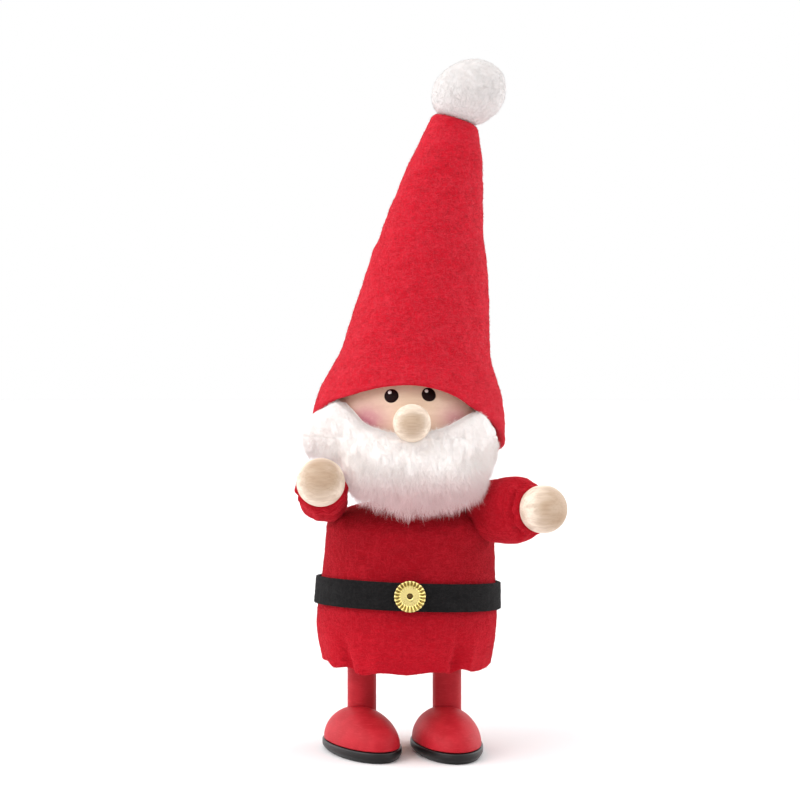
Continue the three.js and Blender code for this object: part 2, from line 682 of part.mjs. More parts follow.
// The space that a sleeve and its hand take where the arm stands, widened by a gap.
function armRoom(side) {
  const profile = [...sleeveProfile(-GAP), new THREE.Vector2(0, sleeveEnd)];
  const sleeve = reshape(turned(profile, MEDIUM), flatten);
  const place = new THREE.Matrix4().makeRotationFromQuaternion(armTurn(side));
  place.setPosition(pivotOf(side));
  const hand = ball(HAND_RADIUS + GAP, handCentre.clone().applyMatrix4(place));
  return solidOf(sleeve.applyMatrix4(place)).add(hand);
}

function makeHand() {
  const boreEnd = wireTip.clone().setZ(wireTip.z + GAP);
  return ball(HAND_RADIUS, handCentre).subtract(rod(WIRE_RADIUS + GAP, new THREE.Vector3(), boreEnd));
}

function makeArmWire() {
  const knob = ball(WIRE_RADIUS, new THREE.Vector3(), COARSE);
  return rod(WIRE_RADIUS, new THREE.Vector3(), wireTip).add(knob);
}

function addArm(side) {
  const arm = new THREE.Group();
  arm.position.copy(pivotOf(side));
  arm.quaternion.copy(armTurn(side));
  figure.add(arm);
  addPiece(`sleeve_${side}`, makeSleeve(side), RED_FELT, arm);
  addPiece(`arm_wire_${side}`, makeArmWire(), STEEL, arm);
  addPiece(`hand_${side}`, makeHand(), WOOD, arm);
}

for (const side of ['right', 'left']) addFoot(side, FEET[side]);
addPiece('body_core', makeBodyCore(), WOOD);
addPiece('tunic', makeTunic(), RED_FELT);
addPiece('belt', makeBelt(), BLACK_FELT);
addPiece('buckle', makeBuckle(), BRASS);
addPiece('buckle_pin', makeBucklePin(), STEEL);
addPiece('neck_dowel', neckRod(0), WOOD);
addPiece('head_ball', makeHead(), WOOD);
addPiece('nose', makeNose(), WOOD);
addPiece('beard_backing', makeBacking(), WHITE_WOOL);
addPiece('beard_fleece', makeFleece(), WHITE_WOOL);
addPiece('hat', makeHat(), RED_FELT);
addPiece('hat_stuffing', makeStuffing(), WHITE_WOOL);
makePompom();
addPiece('shoulder_wire', shoulderWire(0), STEEL);
for (const side of ['right', 'left']) addArm(side);

// Stand the figure with the middle of its bounding box's underside on the origin.
figure.updateMatrixWorld(true);
const bounds = new THREE.Box3().setFromObject(figure, true);
const middle = bounds.getCenter(new THREE.Vector3());
figure.position.set(-middle.x, -middle.y, -bounds.min.z);

export default figure;
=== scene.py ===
"""Looks of a standing gnome figurine of wood, felt and fleece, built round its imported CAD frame.

Points are made in millimetres from the wooden body's own axis, with +Z up and -Y to the front.
place() takes them to metres in the row frame. Azimuths are in degrees from the front, and grow
towards +X, which is the figure's left. Everything random is seeded.
"""

import json
import math

import bpy
import numpy as np
from mathutils import Matrix, Vector


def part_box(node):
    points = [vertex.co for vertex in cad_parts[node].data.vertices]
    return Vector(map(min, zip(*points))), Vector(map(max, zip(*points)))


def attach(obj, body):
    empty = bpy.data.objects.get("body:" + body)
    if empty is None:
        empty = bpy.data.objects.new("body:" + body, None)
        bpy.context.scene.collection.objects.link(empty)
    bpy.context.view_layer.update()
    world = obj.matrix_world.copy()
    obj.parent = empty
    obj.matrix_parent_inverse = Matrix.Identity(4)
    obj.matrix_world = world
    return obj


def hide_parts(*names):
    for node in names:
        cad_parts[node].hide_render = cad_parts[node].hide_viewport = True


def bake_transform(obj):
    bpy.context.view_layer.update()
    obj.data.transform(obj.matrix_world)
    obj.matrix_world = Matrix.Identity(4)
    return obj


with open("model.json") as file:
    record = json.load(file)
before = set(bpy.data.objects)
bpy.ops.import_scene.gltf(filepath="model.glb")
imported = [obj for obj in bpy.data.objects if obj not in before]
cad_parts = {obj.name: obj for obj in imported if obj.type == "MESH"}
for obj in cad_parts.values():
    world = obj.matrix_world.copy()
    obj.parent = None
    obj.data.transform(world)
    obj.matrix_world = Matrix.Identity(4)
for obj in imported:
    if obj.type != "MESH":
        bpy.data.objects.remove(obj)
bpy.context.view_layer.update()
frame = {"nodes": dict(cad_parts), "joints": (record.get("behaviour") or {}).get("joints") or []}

MM = 0.001
core_low, core_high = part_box("body_core")
AXIS = np.array([(core_low.x + core_high.x) / 2, (core_low.y + core_high.y) / 2, 0.0])


def place(points):
    """Millimetres from the body's axis to metres in the row frame."""
    return np.asarray(points, float) * MM + AXIS


def middle(node):
    """The middle of a CAD node's box, in millimetres from the body's axis."""
    low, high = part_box(node)
    return ((np.array(low) + np.array(high)) / 2 - AXIS) / MM


def unit(vectors):
    vectors = np.asarray(vectors, float)
    return vectors / np.maximum(np.linalg.norm(vectors, axis=-1, keepdims=True), 1e-9)


def smooth(x, low, high):
    """0 below low, 1 above high, and an S-curve between them."""
    t = np.clip((np.asarray(x, float) - low) / (high - low), 0, 1)
    return t * t * (3 - 2 * t)


def bump(x, centre, width):
    return np.exp(-(((np.asarray(x, float) - centre) / width) ** 2))


def wobble(points, size, seed, waves=16):
    """Smooth lumps about size mm across, mostly between -1 and 1."""
    rng = np.random.default_rng(seed)
    turn = unit(rng.normal(size=(waves, 3))) * 2 * np.pi / size
    turn *= rng.uniform(0.6, 1.5, (waves, 1))
    phase = rng.uniform(0, 2 * np.pi, waves)
    return np.sin(np.asarray(points) @ turn.T + phase).sum(-1) / math.sqrt(waves)


def around(azimuth, table, blur=4.0):
    """A closed curve of values by azimuth, from (azimuth, value) pairs, softened over blur degrees."""
    known = sorted(table)
    angle = [a for a, _ in known]
    value = [v for _, v in known]
    steps = np.arange(-180, 180, 1.0)
    ring = np.interp(steps, angle, value, period=360)
    spread = np.minimum(steps + 180, 180 - steps)
    kernel = np.exp(-0.5 * (spread / blur) ** 2)
    soft = np.fft.ifft(np.fft.fft(ring) * np.fft.fft(kernel / kernel.sum())).real
    return np.interp(azimuth, steps, soft, period=360)


def softened(at, table, low, high, step=0.25, window=9):
    """Values between a table's points, averaged over a few steps, so that corners are round."""
    known = sorted(table)
    fine = np.arange(low, high, step)
    value = np.interp(fine, [a for a, _ in known], [v for _, v in known])
    margin = window - 1
    value = np.pad(value, margin, "edge")
    value = np.convolve(value, np.ones(window) / window, "same")[margin:-margin]
    return np.interp(at, fine, value)


# ---------------------------------------------------------------- meshes


def piece(name, points, quads, triangles=(), finish=None, slot=None, body=None, **values):
    """A smooth-shaded object from points in millimetres, riding on a body."""
    quads = np.asarray(quads, np.int32).reshape(-1, 4)
    triangles = np.asarray(triangles, np.int32).reshape(-1, 3)
    corners = np.concatenate([quads.ravel(), triangles.ravel()])
    sizes = np.concatenate([np.full(len(quads), 4), np.full(len(triangles), 3)])
    starts = np.concatenate([[0], np.cumsum(sizes)[:-1]]).astype(np.int32)
    mesh = bpy.data.meshes.new(name)
    mesh.vertices.add(len(points))
    mesh.vertices.foreach_set("co", place(points).astype(np.float32).ravel())
    mesh.loops.add(len(corners))
    mesh.loops.foreach_set("vertex_index", corners)
    mesh.polygons.add(len(sizes))
    mesh.polygons.foreach_set("loop_start", starts)
    mesh.polygons.foreach_set("use_smooth", np.ones(len(sizes), bool))
    mesh.update(calc_edges=True)
    mesh.validate()
    for key, value in values.items():
        layer = mesh.attributes.new(key, "FLOAT", "POINT")
        layer.data.foreach_set("value", np.asarray(value, np.float32))
    thing = bpy.data.objects.new(name, mesh)
    bpy.context.scene.collection.objects.link(thing)
    if finish:
        mesh.materials.append(finish)
    if body:
        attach(thing, body)
    return thing


def skin(rows, first=None, last=None, loop=False):
    """Points and faces of a closed surface through rings of points, with a tip at each end or none.
    Rings run anticlockwise seen from above, and up the outside."""
    rows = np.asarray(rows, float)
    count, columns = rows.shape[:2]
    ring = np.arange(count if loop else count - 1)[:, None]
    column = np.arange(columns)[None, :]
    beside = (column + 1) % columns
    above = (ring + 1) % count
    quads = np.stack(
        [
            ring * columns + column,
            ring * columns + beside,
            above * columns + beside,
            above * columns + column,
        ],
        -1,
    ).reshape(-1, 4)
    points = rows.reshape(-1, 3)
    triangles = []
    column, beside = column.ravel(), beside.ravel()
    if first is not None:
        tip = np.full(columns, len(points))
        triangles.append(np.stack([tip, beside, column], -1))
        points = np.vstack([points, first])
    if last is not None:
        tip = np.full(columns, len(points))
        top = (count - 1) * columns
        triangles.append(np.stack([top + column, top + beside, tip], -1))
        points = np.vstack([points, last])
    return points, quads, np.concatenate(triangles) if triangles else ()


def ring_angles(columns):
    """Azimuths round one ring, anticlockwise seen from above, with their x and y directions."""
    azimuth = np.linspace(-180, 180, columns, endpoint=False)
    turn = np.radians(azimuth)
    return azimuth, np.sin(turn), -np.cos(turn)


def frame_of(axis, up=(0, 0, 1)):
    """Two directions across an axis, so that side, rise and axis are right-handed."""
    axis = unit(axis)
    side = unit(np.cross(up, axis))
    return side, np.cross(axis, side), axis


def lathe(profile, origin, axis=(0, 0, 1), up=(0, 1, 0), columns=96):
    """Rings for skin() from a profile of (radius, height), turned round an axis. Ends at radius 0."""
    side, rise, axis = frame_of(axis, up)
    turn = np.linspace(0, 2 * np.pi, columns, endpoint=False)
    spoke = np.cos(turn)[:, None] * side + np.sin(turn)[:, None] * rise
    profile = np.asarray(profile, float)
    inner = profile[1:-1]
    rows = origin + inner[:, 0, None, None] * spoke + inner[:, 1, None, None] * axis
    return skin(rows, origin + profile[0, 1] * axis, origin + profile[-1, 1] * axis)


def arc(radius, start, end, steps, centre=(0.0, 0.0)):
    """Profile points on a circle; angles in degrees, 0 along the radius and 90 along the height."""
    turn = np.radians(np.linspace(start, end, steps))
    return [(centre[0] + radius * math.cos(a), centre[1] + radius * math.sin(a)) for a in turn]


def strands(name, roots, ways, lengths, radius, finish, slot, body, droop=0.0, curl=0.0,
            seed=1, rings=3, tips=None, **values):
    """Tapered hairs with three sides each. ways are their first directions; tips, if given, are
    where they end, and droop bends them on the way."""
    rng = np.random.default_rng(seed)
    count = len(roots)
    ways = unit(ways)
    if tips is None:
        tips = roots + ways * lengths[:, None] + droop
    share = np.linspace(0, 1, rings + 1)[None, :, None]
    first = roots + ways * (lengths * 0.5)[:, None]
    path = (1 - share) ** 2 * roots[:, None] + 2 * share * (1 - share) * first[:, None]
    path = path + share**2 * tips[:, None]
    across = unit(np.cross(ways, rng.normal(size=(count, 3))))
    other = np.cross(ways, across)
    if curl:
        swing = rng.uniform(0, 2 * np.pi, (count, 1, 1)) + share * rng.uniform(3, 8, (count, 1, 1))
        size = curl * share * (1 - 0.4 * share) * rng.uniform(0.4, 1.2, (count, 1, 1))
        path = path + size * (np.sin(swing) * across[:, None] + np.cos(swing) * other[:, None])
    thick = np.asarray(radius, float).reshape(-1, 1, 1) * (1 - 0.75 * share[:, :-1])
    turn = np.arange(3) * 2 * np.pi / 3
    spoke = np.cos(turn)[None, :, None] * across[:, None] + np.sin(turn)[None, :, None] * other[:, None]
    tube = path[:, :-1, None, :] + thick[:, :, None, :] * spoke[:, None, :, :]
    size = rings * 3 + 1
    points = np.concatenate([tube.reshape(count, rings * 3, 3), path[:, -1:, :]], 1).reshape(-1, 3)
    base = np.arange(count)[:, None] * size
    quads = []
    for ring in range(rings - 1):
        for side in range(3):
            beside = (side + 1) % 3
            low, high = ring * 3, ring * 3 + 3
            quads.append(base + np.array([low + side, low + beside, high + beside, high + side]))
    last = (rings - 1) * 3
    triangles = [base + np.array([last + s, last + (s + 1) % 3, size - 1]) for s in range(3)]
    triangles.append(base + np.array([2, 1, 0]))
    values = {key: np.repeat(value, size) for key, value in values.items()}
    return piece(name, points, np.concatenate(quads), np.concatenate(triangles), finish, slot, body,
                 **values)


def fuzz(name, source, count, length, radius, finish, slot, body, lift=0.45, seed=1, keep=None):
    """Short fibres lying over the outside of a mesh, rooted on its faces by area."""
    rng = np.random.default_rng(seed)
    mesh = source.data
    mesh.calc_loop_triangles()
    corner = np.zeros(len(mesh.loop_triangles) * 3, np.int32)
    mesh.loop_triangles.foreach_get("vertices", corner)
    spots = np.zeros(len(mesh.vertices) * 3, np.float32)
    mesh.vertices.foreach_get("co", spots)
    spots = (spots.reshape(-1, 3) - AXIS) / MM
    a, b, c = (spots[corner.reshape(-1, 3)[:, k]] for k in range(3))
    across = np.cross(b - a, c - a)
    area = np.linalg.norm(across, axis=1)
    if keep is not None:
        area = area * keep((a + b + c) / 3, unit(across))
    pick = rng.choice(len(area), count, p=area / area.sum())
    u, v = rng.random(count), rng.random(count)
    flip = u + v > 1
    u[flip], v[flip] = 1 - u[flip], 1 - v[flip]
    normal = unit(across[pick])
    roots = a[pick] + u[:, None] * (b - a)[pick] + v[:, None] * (c - a)[pick] - normal * 0.04
    lying = unit(np.cross(normal, rng.normal(size=(count, 3))))
    ways = lying + normal * (lift * rng.uniform(0.3, 1.5, (count, 1)))
    lengths = length * rng.uniform(0.4, 1.3, count)
    return strands(name, roots, ways, lengths, radius * rng.uniform(0.6, 1.2, count), finish, slot,
                   body, droop=-normal * (0.25 * lengths)[:, None], curl=0.12 * length, seed=seed,
                   rings=2)


# ---------------------------------------------------------------- materials


class Shader:
    """A material's node tree, with the few node kinds this scene uses."""

    def __init__(self, name, roughness, **sockets):
        self.material = bpy.data.materials.new(name)
        self.material.use_nodes = True
        self.nodes = self.material.node_tree.nodes
        self.links = self.material.node_tree.links
        self.surface = self.nodes["Principled BSDF"]
        self.surface.inputs["Roughness"].default_value = roughness
        for key, value in sockets.items():
            self.surface.inputs[key.replace("_", " ")].default_value = value
        self.space = self.add("ShaderNodeTexCoord").outputs["Object"]

    def add(self, kind, **settings):
        node = self.nodes.new(kind)
        for key, value in settings.items():
            setattr(node, key, value)
        return node

    def feed(self, socket, value):
        if isinstance(value, bpy.types.NodeSocket):
            self.links.new(value, socket)
        else:
            socket.default_value = value

    def stretch(self, scale, turn=(0, 0, 0)):
        """Object coordinates in millimetres, scaled and turned."""
        node = self.add("ShaderNodeMapping")
        self.feed(node.inputs["Vector"], self.space)
        node.inputs["Scale"].default_value = [s / MM for s in scale]
        node.inputs["Rotation"].default_value = turn
        return node.outputs["Vector"]

    def noise(self, scale=(1, 1, 1), turn=(0, 0, 0), detail=3.0, rough=0.6, twist=0.0):
        node = self.add("ShaderNodeTexNoise")
        self.feed(node.inputs["Vector"], self.stretch(scale, turn))
        node.inputs["Scale"].default_value = 1
        node.inputs["Detail"].default_value = detail
        node.inputs["Roughness"].default_value = rough
        node.inputs["Distortion"].default_value = twist
        return node.outputs["Fac"]

    def level(self, value, low, high):
        """value taken from low..high to 0..1, smoothly."""
        node = self.add("ShaderNodeMapRange", interpolation_type="SMOOTHSTEP")
        self.feed(node.inputs["Value"], value)
        node.inputs["From Min"].default_value = low
        node.inputs["From Max"].default_value = high
        return node.outputs["Result"]

    def part(self, value, low, high, most):
        """As level, but only up to most."""
        return self.math("MULTIPLY", self.level(value, low, high), most)

    def math(self, operation, a, b=0.5):
        node = self.add("ShaderNodeMath", operation=operation)
        self.feed(node.inputs[0], a)
        self.feed(node.inputs[1], b)
        return node.outputs["Value"]

    def mix(self, share, a, b):
        node = self.add("ShaderNodeMix", data_type="RGBA", blend_type="MIX")
        self.feed(node.inputs["Factor"], share)
        self.feed(node.inputs[6], a if isinstance(a, bpy.types.NodeSocket) else (*a, 1))
        self.feed(node.inputs[7], b if isinstance(b, bpy.types.NodeSocket) else (*b, 1))
        return node.outputs[2]

    def value(self, name):
        return self.add("ShaderNodeAttribute", attribute_name=name).outputs["Fac"]

    def fibre(self, scale, turn, twist=1.2, width=0.05):
        """Thin curling lines, where a stretched noise passes its middle value."""
        wave = self.noise(scale, turn, detail=2.0, twist=twist)
        near = self.math("ABSOLUTE", self.math("SUBTRACT", wave, 0.5))
        return self.level(near, width, 0.0)

    def relief(self, height, size, strength=1.0):
        """Bumps size mm high."""
        node = self.add("ShaderNodeBump")
        node.inputs["Distance"].default_value = size * MM
        node.inputs["Strength"].default_value = strength
        self.feed(node.inputs["Height"], height)
        self.feed(self.surface.inputs["Normal"], node.outputs["Normal"])

    def colour(self, value):
        self.feed(self.surface.inputs["Base Color"], value)
        return self.material


def rgb(red, green, blue):
    """A screen colour, 0-255, as a linear one."""
    return tuple(
        c / 12.92 if c <= 0.04045 else ((c + 0.055) / 1.055) ** 2.4
        for c in (red / 255, green / 255, blue / 255)
    )


def felt(name, mid, dark, light, pale, sheen=0.4, edge=0.5, painted_light=None):
    """Pressed wool: mottled, with long fibres lying every way and paler ones on top."""
    s = Shader(name, 0.92, Sheen_Weight=sheen, Sheen_Roughness=edge, Specular_IOR_Level=0.15)
    s.surface.inputs["Sheen Tint"].default_value = (*pale, 1)
    cloud = s.noise((0.16, 0.16, 0.3), detail=4, rough=0.62)
    mottle = s.noise((0.55, 0.55, 0.9), (0.3, 0.5, 0.2), detail=5, rough=0.7)
    lying = [
        s.noise((0.35, 0.35, 2.6), (0.2, 0.5, 0.1), detail=5, rough=0.7),
        s.noise((2.4, 0.5, 0.35), (0.1, 0.7, 0.5), detail=5, rough=0.7),
        s.noise((0.4, 0.4, 3.0), (0.1, -0.6, 0.3), detail=4, rough=0.7),
    ]
    streak = s.math("MULTIPLY", s.math("ADD", s.math("ADD", lying[0], lying[1]), lying[2]), 1 / 3)
    body = s.mix(s.part(mottle, 0.62, 0.36, 0.40), mid, dark)
    body = s.mix(s.part(cloud, 0.42, 0.68, 0.30), body, light)
    body = s.mix(s.part(streak, 0.52, 0.64, 0.40), body, light)
    body = s.mix(s.part(streak, 0.47, 0.38, 0.30), body, dark)
    # painted light: a lighter red mixed in by a point attribute
    if painted_light:
        body = s.mix(s.value("Tone"), body, painted_light)
    hair = s.fibre((0.32, 0.32, 0.8), (0.4, 0.3, 0.9))
    more = s.fibre((0.7, 0.5, 0.25), (0.9, 0.1, 0.2), width=0.035)
    hairs = s.math("MAXIMUM", hair, more)
    body = s.mix(s.math("MULTIPLY", hairs, 0.15), body, pale)
    height = s.math("ADD", s.math("MULTIPLY", streak, 1.2), s.math("MULTIPLY", mottle, 0.8))
    height = s.math("ADD", height, s.math("MULTIPLY", hairs, 0.12))
    s.relief(height, 0.42)
    return s.colour(body)


def wool(name, mid, shade, relief=0.35, soft=0.35, attribute=None, painted_bounce_shade=None, glow=0.0):
    """White wool, with light passing a little way into it, and, where glow is given, a painted glow."""
    s = Shader(name, 0.95, Sheen_Weight=0.25, Sheen_Roughness=0.6, Specular_IOR_Level=0.1)
    s.surface.inputs["Subsurface Weight"].default_value = soft
    s.surface.inputs["Subsurface Radius"].default_value = (1.0, 0.85, 0.8)
    s.surface.inputs["Subsurface Scale"].default_value = 1.6 * MM
    cloud = s.noise((0.28, 0.28, 0.2), detail=5, rough=0.65)
    fine = s.noise((1.6, 1.6, 0.6), (0.3, 0.2, 0.4), detail=4, rough=0.7, twist=0.8)
    body = s.mix(s.level(cloud, 0.35, 0.62), shade, mid)
    body = s.mix(s.part(fine, 0.5, 0.35, 0.35), body, shade)
    # painted red bounce light and shade: a darker pink mixed in by a point attribute
    if attribute:
        body = s.mix(s.value(attribute), body, painted_bounce_shade)
    s.relief(s.math("ADD", fine, s.fibre((0.9, 0.9, 0.35), (0.2, 0.4, 0.1))), relief)
    # painted light: a faint emission that stands in for light scattered through the wool
    s.surface.inputs["Emission Color"].default_value = (1.0, 0.95, 0.94, 1)
    s.surface.inputs["Emission Strength"].default_value = glow
    return s.colour(body)


def wood(name, pale, tan, brown, turn=(0, 0, 0), attribute=None, blush=None):
    """Bare turned wood: fine straight grain, and short dark flecks where its end shows."""
    s = Shader(name, 0.52, Specular_IOR_Level=0.35)
    grain = s.noise((0.12, 2.2, 2.2), turn, detail=5, rough=0.65, twist=0.3)
    fleck = s.noise((0.5, 5.0, 5.0), turn, detail=2, rough=0.5)
    band = s.noise((0.05, 0.35, 0.5), turn, detail=3, twist=0.6)
    body = s.mix(s.part(band, 0.38, 0.66, 0.45), pale, tan)
    body = s.mix(s.part(grain, 0.45, 0.65, 0.22), body, tan)
    body = s.mix(s.part(fleck, 0.60, 0.72, 0.12), body, brown)
    if attribute:
        end = s.value(attribute)
        share = s.math("MULTIPLY", end, 0.9)
        body = s.mix(share, body, s.mix(s.part(grain, 0.40, 0.64, 0.35), tan, brown))
    if blush:
        spread = s.level(s.noise((0.8, 0.8, 0.8), detail=4), -0.6, 0.6)
        body = s.mix(s.math("MULTIPLY", s.value("Blush"), spread), body, blush)
    s.relief(s.math("ADD", grain, s.math("MULTIPLY", fleck, -0.6)), 0.035)
    return s.colour(body)


def paint(name, mid, dark, light, roughness, gloss):
    """Brushed paint on wood, with faint lighter brush lines over darker and lighter patches."""
    s = Shader(name, roughness, Specular_IOR_Level=gloss)
    patch = s.noise((0.25, 0.25, 0.3), detail=4, rough=0.6)
    brush = s.noise((0.6, 0.6, 4.5), (0.1, 0.1, 0.3), detail=3, rough=0.6)
    body = s.mix(s.level(patch, 0.35, 0.65), dark, mid)
    body = s.mix(s.part(brush, 0.52, 0.70, 0.4), body, light)
    s.relief(s.math("ADD", s.noise((2.2, 2.2, 2.2), detail=4), brush), 0.03)
    return s.colour(body)


def metal(name, mid, dark, roughness, relief=0.02, groove_shade=None):
    """Bare metal, with tarnish in patches and fine drawn lines."""
    s = Shader(name, roughness, Metallic=1.0)
    tarnish = s.noise((0.7, 0.7, 0.7), detail=5, rough=0.7)
    lines = s.noise((6.0, 6.0, 0.5), (0.4, 0.3, 0.0), detail=2)
    body = s.mix(s.level(tarnish, 0.52, 0.75), mid, dark)
    # painted shade: a dark colour mixed in where a point attribute marks grooves
    if groove_shade:
        body = s.mix(s.value("Groove"), body, groove_shade)
    s.relief(s.math("ADD", lines, s.noise((2.0, 2.0, 2.0), detail=3)), relief)
    return s.colour(body)


red_felt = felt("red_felt", rgb(206, 21, 41), rgb(176, 9, 28), rgb(222, 38, 58), rgb(244, 92, 106))
# a copy of the red felt painted darker: painted shade, as the tunic and sleeves sit under the beard and
# arms; its lighter tint is painted light, mixed in by a point attribute
tunic_red_shaded = felt("tunic_felt_shaded", rgb(158, 4, 22), rgb(140, 2, 17), rgb(178, 10, 29),
                 rgb(250, 60, 76), sheen=1.0, edge=0.3, painted_light=rgb(196, 14, 34))
red_fibre = felt("red_felt_fibre", rgb(216, 40, 56), rgb(190, 22, 40), rgb(232, 66, 80),
                 rgb(245, 120, 130))
black_felt = felt("black_felt", rgb(19, 18, 19), rgb(9, 9, 10), rgb(31, 30, 31), rgb(62, 59, 59), 0.06)
# the fleece and its locks are given a painted glow
fleece = wool("white_fleece", rgb(241, 235, 232), rgb(233, 226, 223), relief=0.10, attribute="Tinge",
              painted_bounce_shade=rgb(202, 112, 118), glow=0.10)
locks = wool("fleece_locks", rgb(243, 238, 235), rgb(237, 231, 228), relief=0.02, soft=0.0,
             attribute="Tinge", painted_bounce_shade=rgb(210, 130, 136), glow=0.15)
# painted light: the hide's beaded rim is painted bright and glows, so that no shade line shows along
# the cheeks
hide = wool("white_hide", rgb(250, 246, 242), rgb(240, 232, 226), relief=0.05, soft=0.1, glow=0.2)
white_felt = wool("white_felt", rgb(229, 224, 222), rgb(223, 218, 216), relief=0.05, soft=0.3)
filling = wool("white_filling", rgb(236, 233, 228), rgb(214, 209, 202))
PALE, TAN, BROWN = rgb(248, 233, 215), rgb(176, 146, 118), rgb(154, 124, 98)
face_wood = wood("face_wood", rgb(240, 214, 188), rgb(222, 192, 162), rgb(190, 154, 124),
                 (0.0, 0.1, 0.0), blush=rgb(186, 110, 124))
hand_wood = wood("hand_wood", PALE, TAN, BROWN, (0.0, 0.25, 0.0), attribute="End")
inner_wood = wood("inner_wood", rgb(226, 200, 162), rgb(206, 174, 132), rgb(170, 134, 96), (0, 1.57, 0))
red_paint = paint("red_paint", rgb(187, 34, 46), rgb(176, 27, 39), rgb(200, 52, 62), 0.5, 0.16)
black_paint = paint("black_paint", rgb(17, 14, 15), rgb(11, 9, 10), rgb(32, 29, 30), 0.38, 0.3)
brass = metal("brass", rgb(210, 194, 126), rgb(148, 126, 70), 0.24, groove_shade=rgb(104, 82, 40))
nail = metal("brass_nail", rgb(84, 66, 38), rgb(30, 24, 16), 0.4)
steel = metal("steel_wire", rgb(150, 146, 140), rgb(96, 92, 88), 0.35)
eye_brown = paint("eye_paint", rgb(38, 16, 16), rgb(20, 8, 8), rgb(56, 26, 24), 0.40, 0.06)
# white paint for a painted highlight on each eye
eye_highlight = paint("eye_painted_highlight", rgb(246, 240, 236), rgb(232, 224, 220), rgb(252, 250, 248), 0.3, 0.5)

for node, finish in (("body_core", inner_wood), ("neck_dowel", inner_wood), ("shoulder_wire", steel),
                     ("arm_wire_right", steel), ("arm_wire_left", steel)):
    frame["nodes"][node].data.materials.clear()
    frame["nodes"][node].data.materials.append(finish)

# ---------------------------------------------------------------- head, eyes and nose

HEAD = middle("head_ball")
HEAD_RADIUS = 20.0
NOSE, NOSE_RADIUS = np.array([1.1, -24.0, 81.8]), 4.5
BORE = 1.2  # depth of the hole in a ball's seat
CHEEKS = ((-10.2, 82.0, 5.6, 1.0), (11.6, 82.4, 4.8, 0.8))  # x, z, size and strength


def turned_ball(radius, seat, steps=56):
    """A ball's profile from its seat, a small flat with a bored hole, to a small flat opposite."""
    base = -math.sqrt(radius**2 - seat**2)
    profile = [(0, base + BORE), (seat * 0.5, base + BORE), (seat * 0.62, base)]
    profile += arc(radius, -math.degrees(math.acos(seat / radius)), 86.0, steps)
    top = profile[-1][1]
    return profile + [(0.035 * radius, top + 0.0024 * radius), (0, top + 0.002)]


points, quads, tips = lathe(turned_ball(HEAD_RADIUS, 4.0), HEAD, columns=160)
cheeks = np.zeros(len(points))
for side, height, size, strength in CHEEKS:
    spot = np.array([side, -math.sqrt(HEAD_RADIUS**2 - side**2), height])
    away = np.linalg.norm((points - spot) * (0.85, 1, 1.25), axis=1)
    cheeks = np.maximum(cheeks, strength * bump(away, 0, size))
head = piece("head_turned", points, quads, tips, face_wood, "bare_wood", "torso", Blush=cheeks)
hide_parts("head_ball")

nose_axis = unit(NOSE - HEAD)
points, quads, tips = lathe(turned_ball(NOSE_RADIUS, 1.7), NOSE, nose_axis, columns=80)
front = smooth((points - NOSE) @ nose_axis, 2.2, 4.3)
nose = piece("nose_turned", points, quads, tips, hand_wood, "bare_wood", "torso", End=front * 0.85)
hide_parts("nose")


def dome(name, spot, radius, low, high, finish):
    """A drop of paint standing on the head at a point seen from the front, from low to high."""
    deep = HEAD_RADIUS**2 - (spot[0] - HEAD[0]) ** 2 - (spot[1] - HEAD[2]) ** 2
    on = np.array([spot[0], HEAD[1] - math.sqrt(deep), spot[1]])
    out = unit(on - HEAD)
    rim = low + 0.08
    profile = [(0, low), (radius * 0.7, low), (radius * 0.97, low + 0.02)]
    for turn in np.radians(np.linspace(4, 90, 14))[:-1]:
        profile.append((radius * math.cos(turn), rim + (high - rim) * math.sin(turn)))
    profile.append((0, high))
    points, quads, tips = lathe(profile, on, out, (0, 0, 1), 64)
    points = points + 0.03 * radius * wobble(points, radius * 2.2, 5)[:, None] * unit(points - on)
    return piece(name, points, quads, tips, finish, None, "torso")


for side, spot in (("right", (-3.8, 88.1)), ("left", (5.2, 88.4))):
    dome(f"eye_{side}", spot, 1.76, -0.16, 0.30, eye_brown)
    shift = -0.3 if side == "right" else -0.6
    # a small white dot high on each eye is a painted highlight, where the lamps would reflect
    dome(f"eye_painted_highlight_{side}", (spot[0] + shift, spot[1] + 0.75), 0.48, 0.12, 0.40, eye_highlight)

# ---------------------------------------------------------------- hat

FELT = 1.55
HAT_CEILING, HAT_SHOULDER = 152.0, 154.2  # the closed end, inside and outside
HAT_BEND = 86.0  # the hat leans from this height up
HAT_OUTLINE = [
    (60.0, 23.4), (81.0, 23.5), (84.0, 23.3), (87.0, 22.8), (89.1, 22.2), (91.6, 21.3), (94.5, 20.0),
    (97.0, 18.9), (100.0, 18.1), (104.0, 17.3), (111.4, 16.0), (123.8, 13.5), (136.1, 11.0),
    (148.5, 8.25), (151.0, 7.4), (154.2, 6.2),
]
HAT_BRIM = [(-180, 69.0), (-150, 70.5), (-120, 75.0), (-105, 77.0), (-90, 79.9), (-70, 84.3),
            (-55, 86.9), (-40, 88.0), (-27, 89.5), (-14, 90.4), (0, 90.8), (13, 90.2), (27, 88.6),
            (42, 85.3), (55, 82.9), (70, 80.0), (80, 78.0), (90, 76.2), (100, 74.6), (120, 72.0),
            (150, 69.8)]


def hat_radius(height):
    return softened(height, HAT_OUTLINE, 60.0, 156.0)


def hat_run(rise):
    """How far over the leaning hat's middle is, at a height above its bend."""
    return HEAD[0] + 0.105 * rise + 0.00072 * rise**2


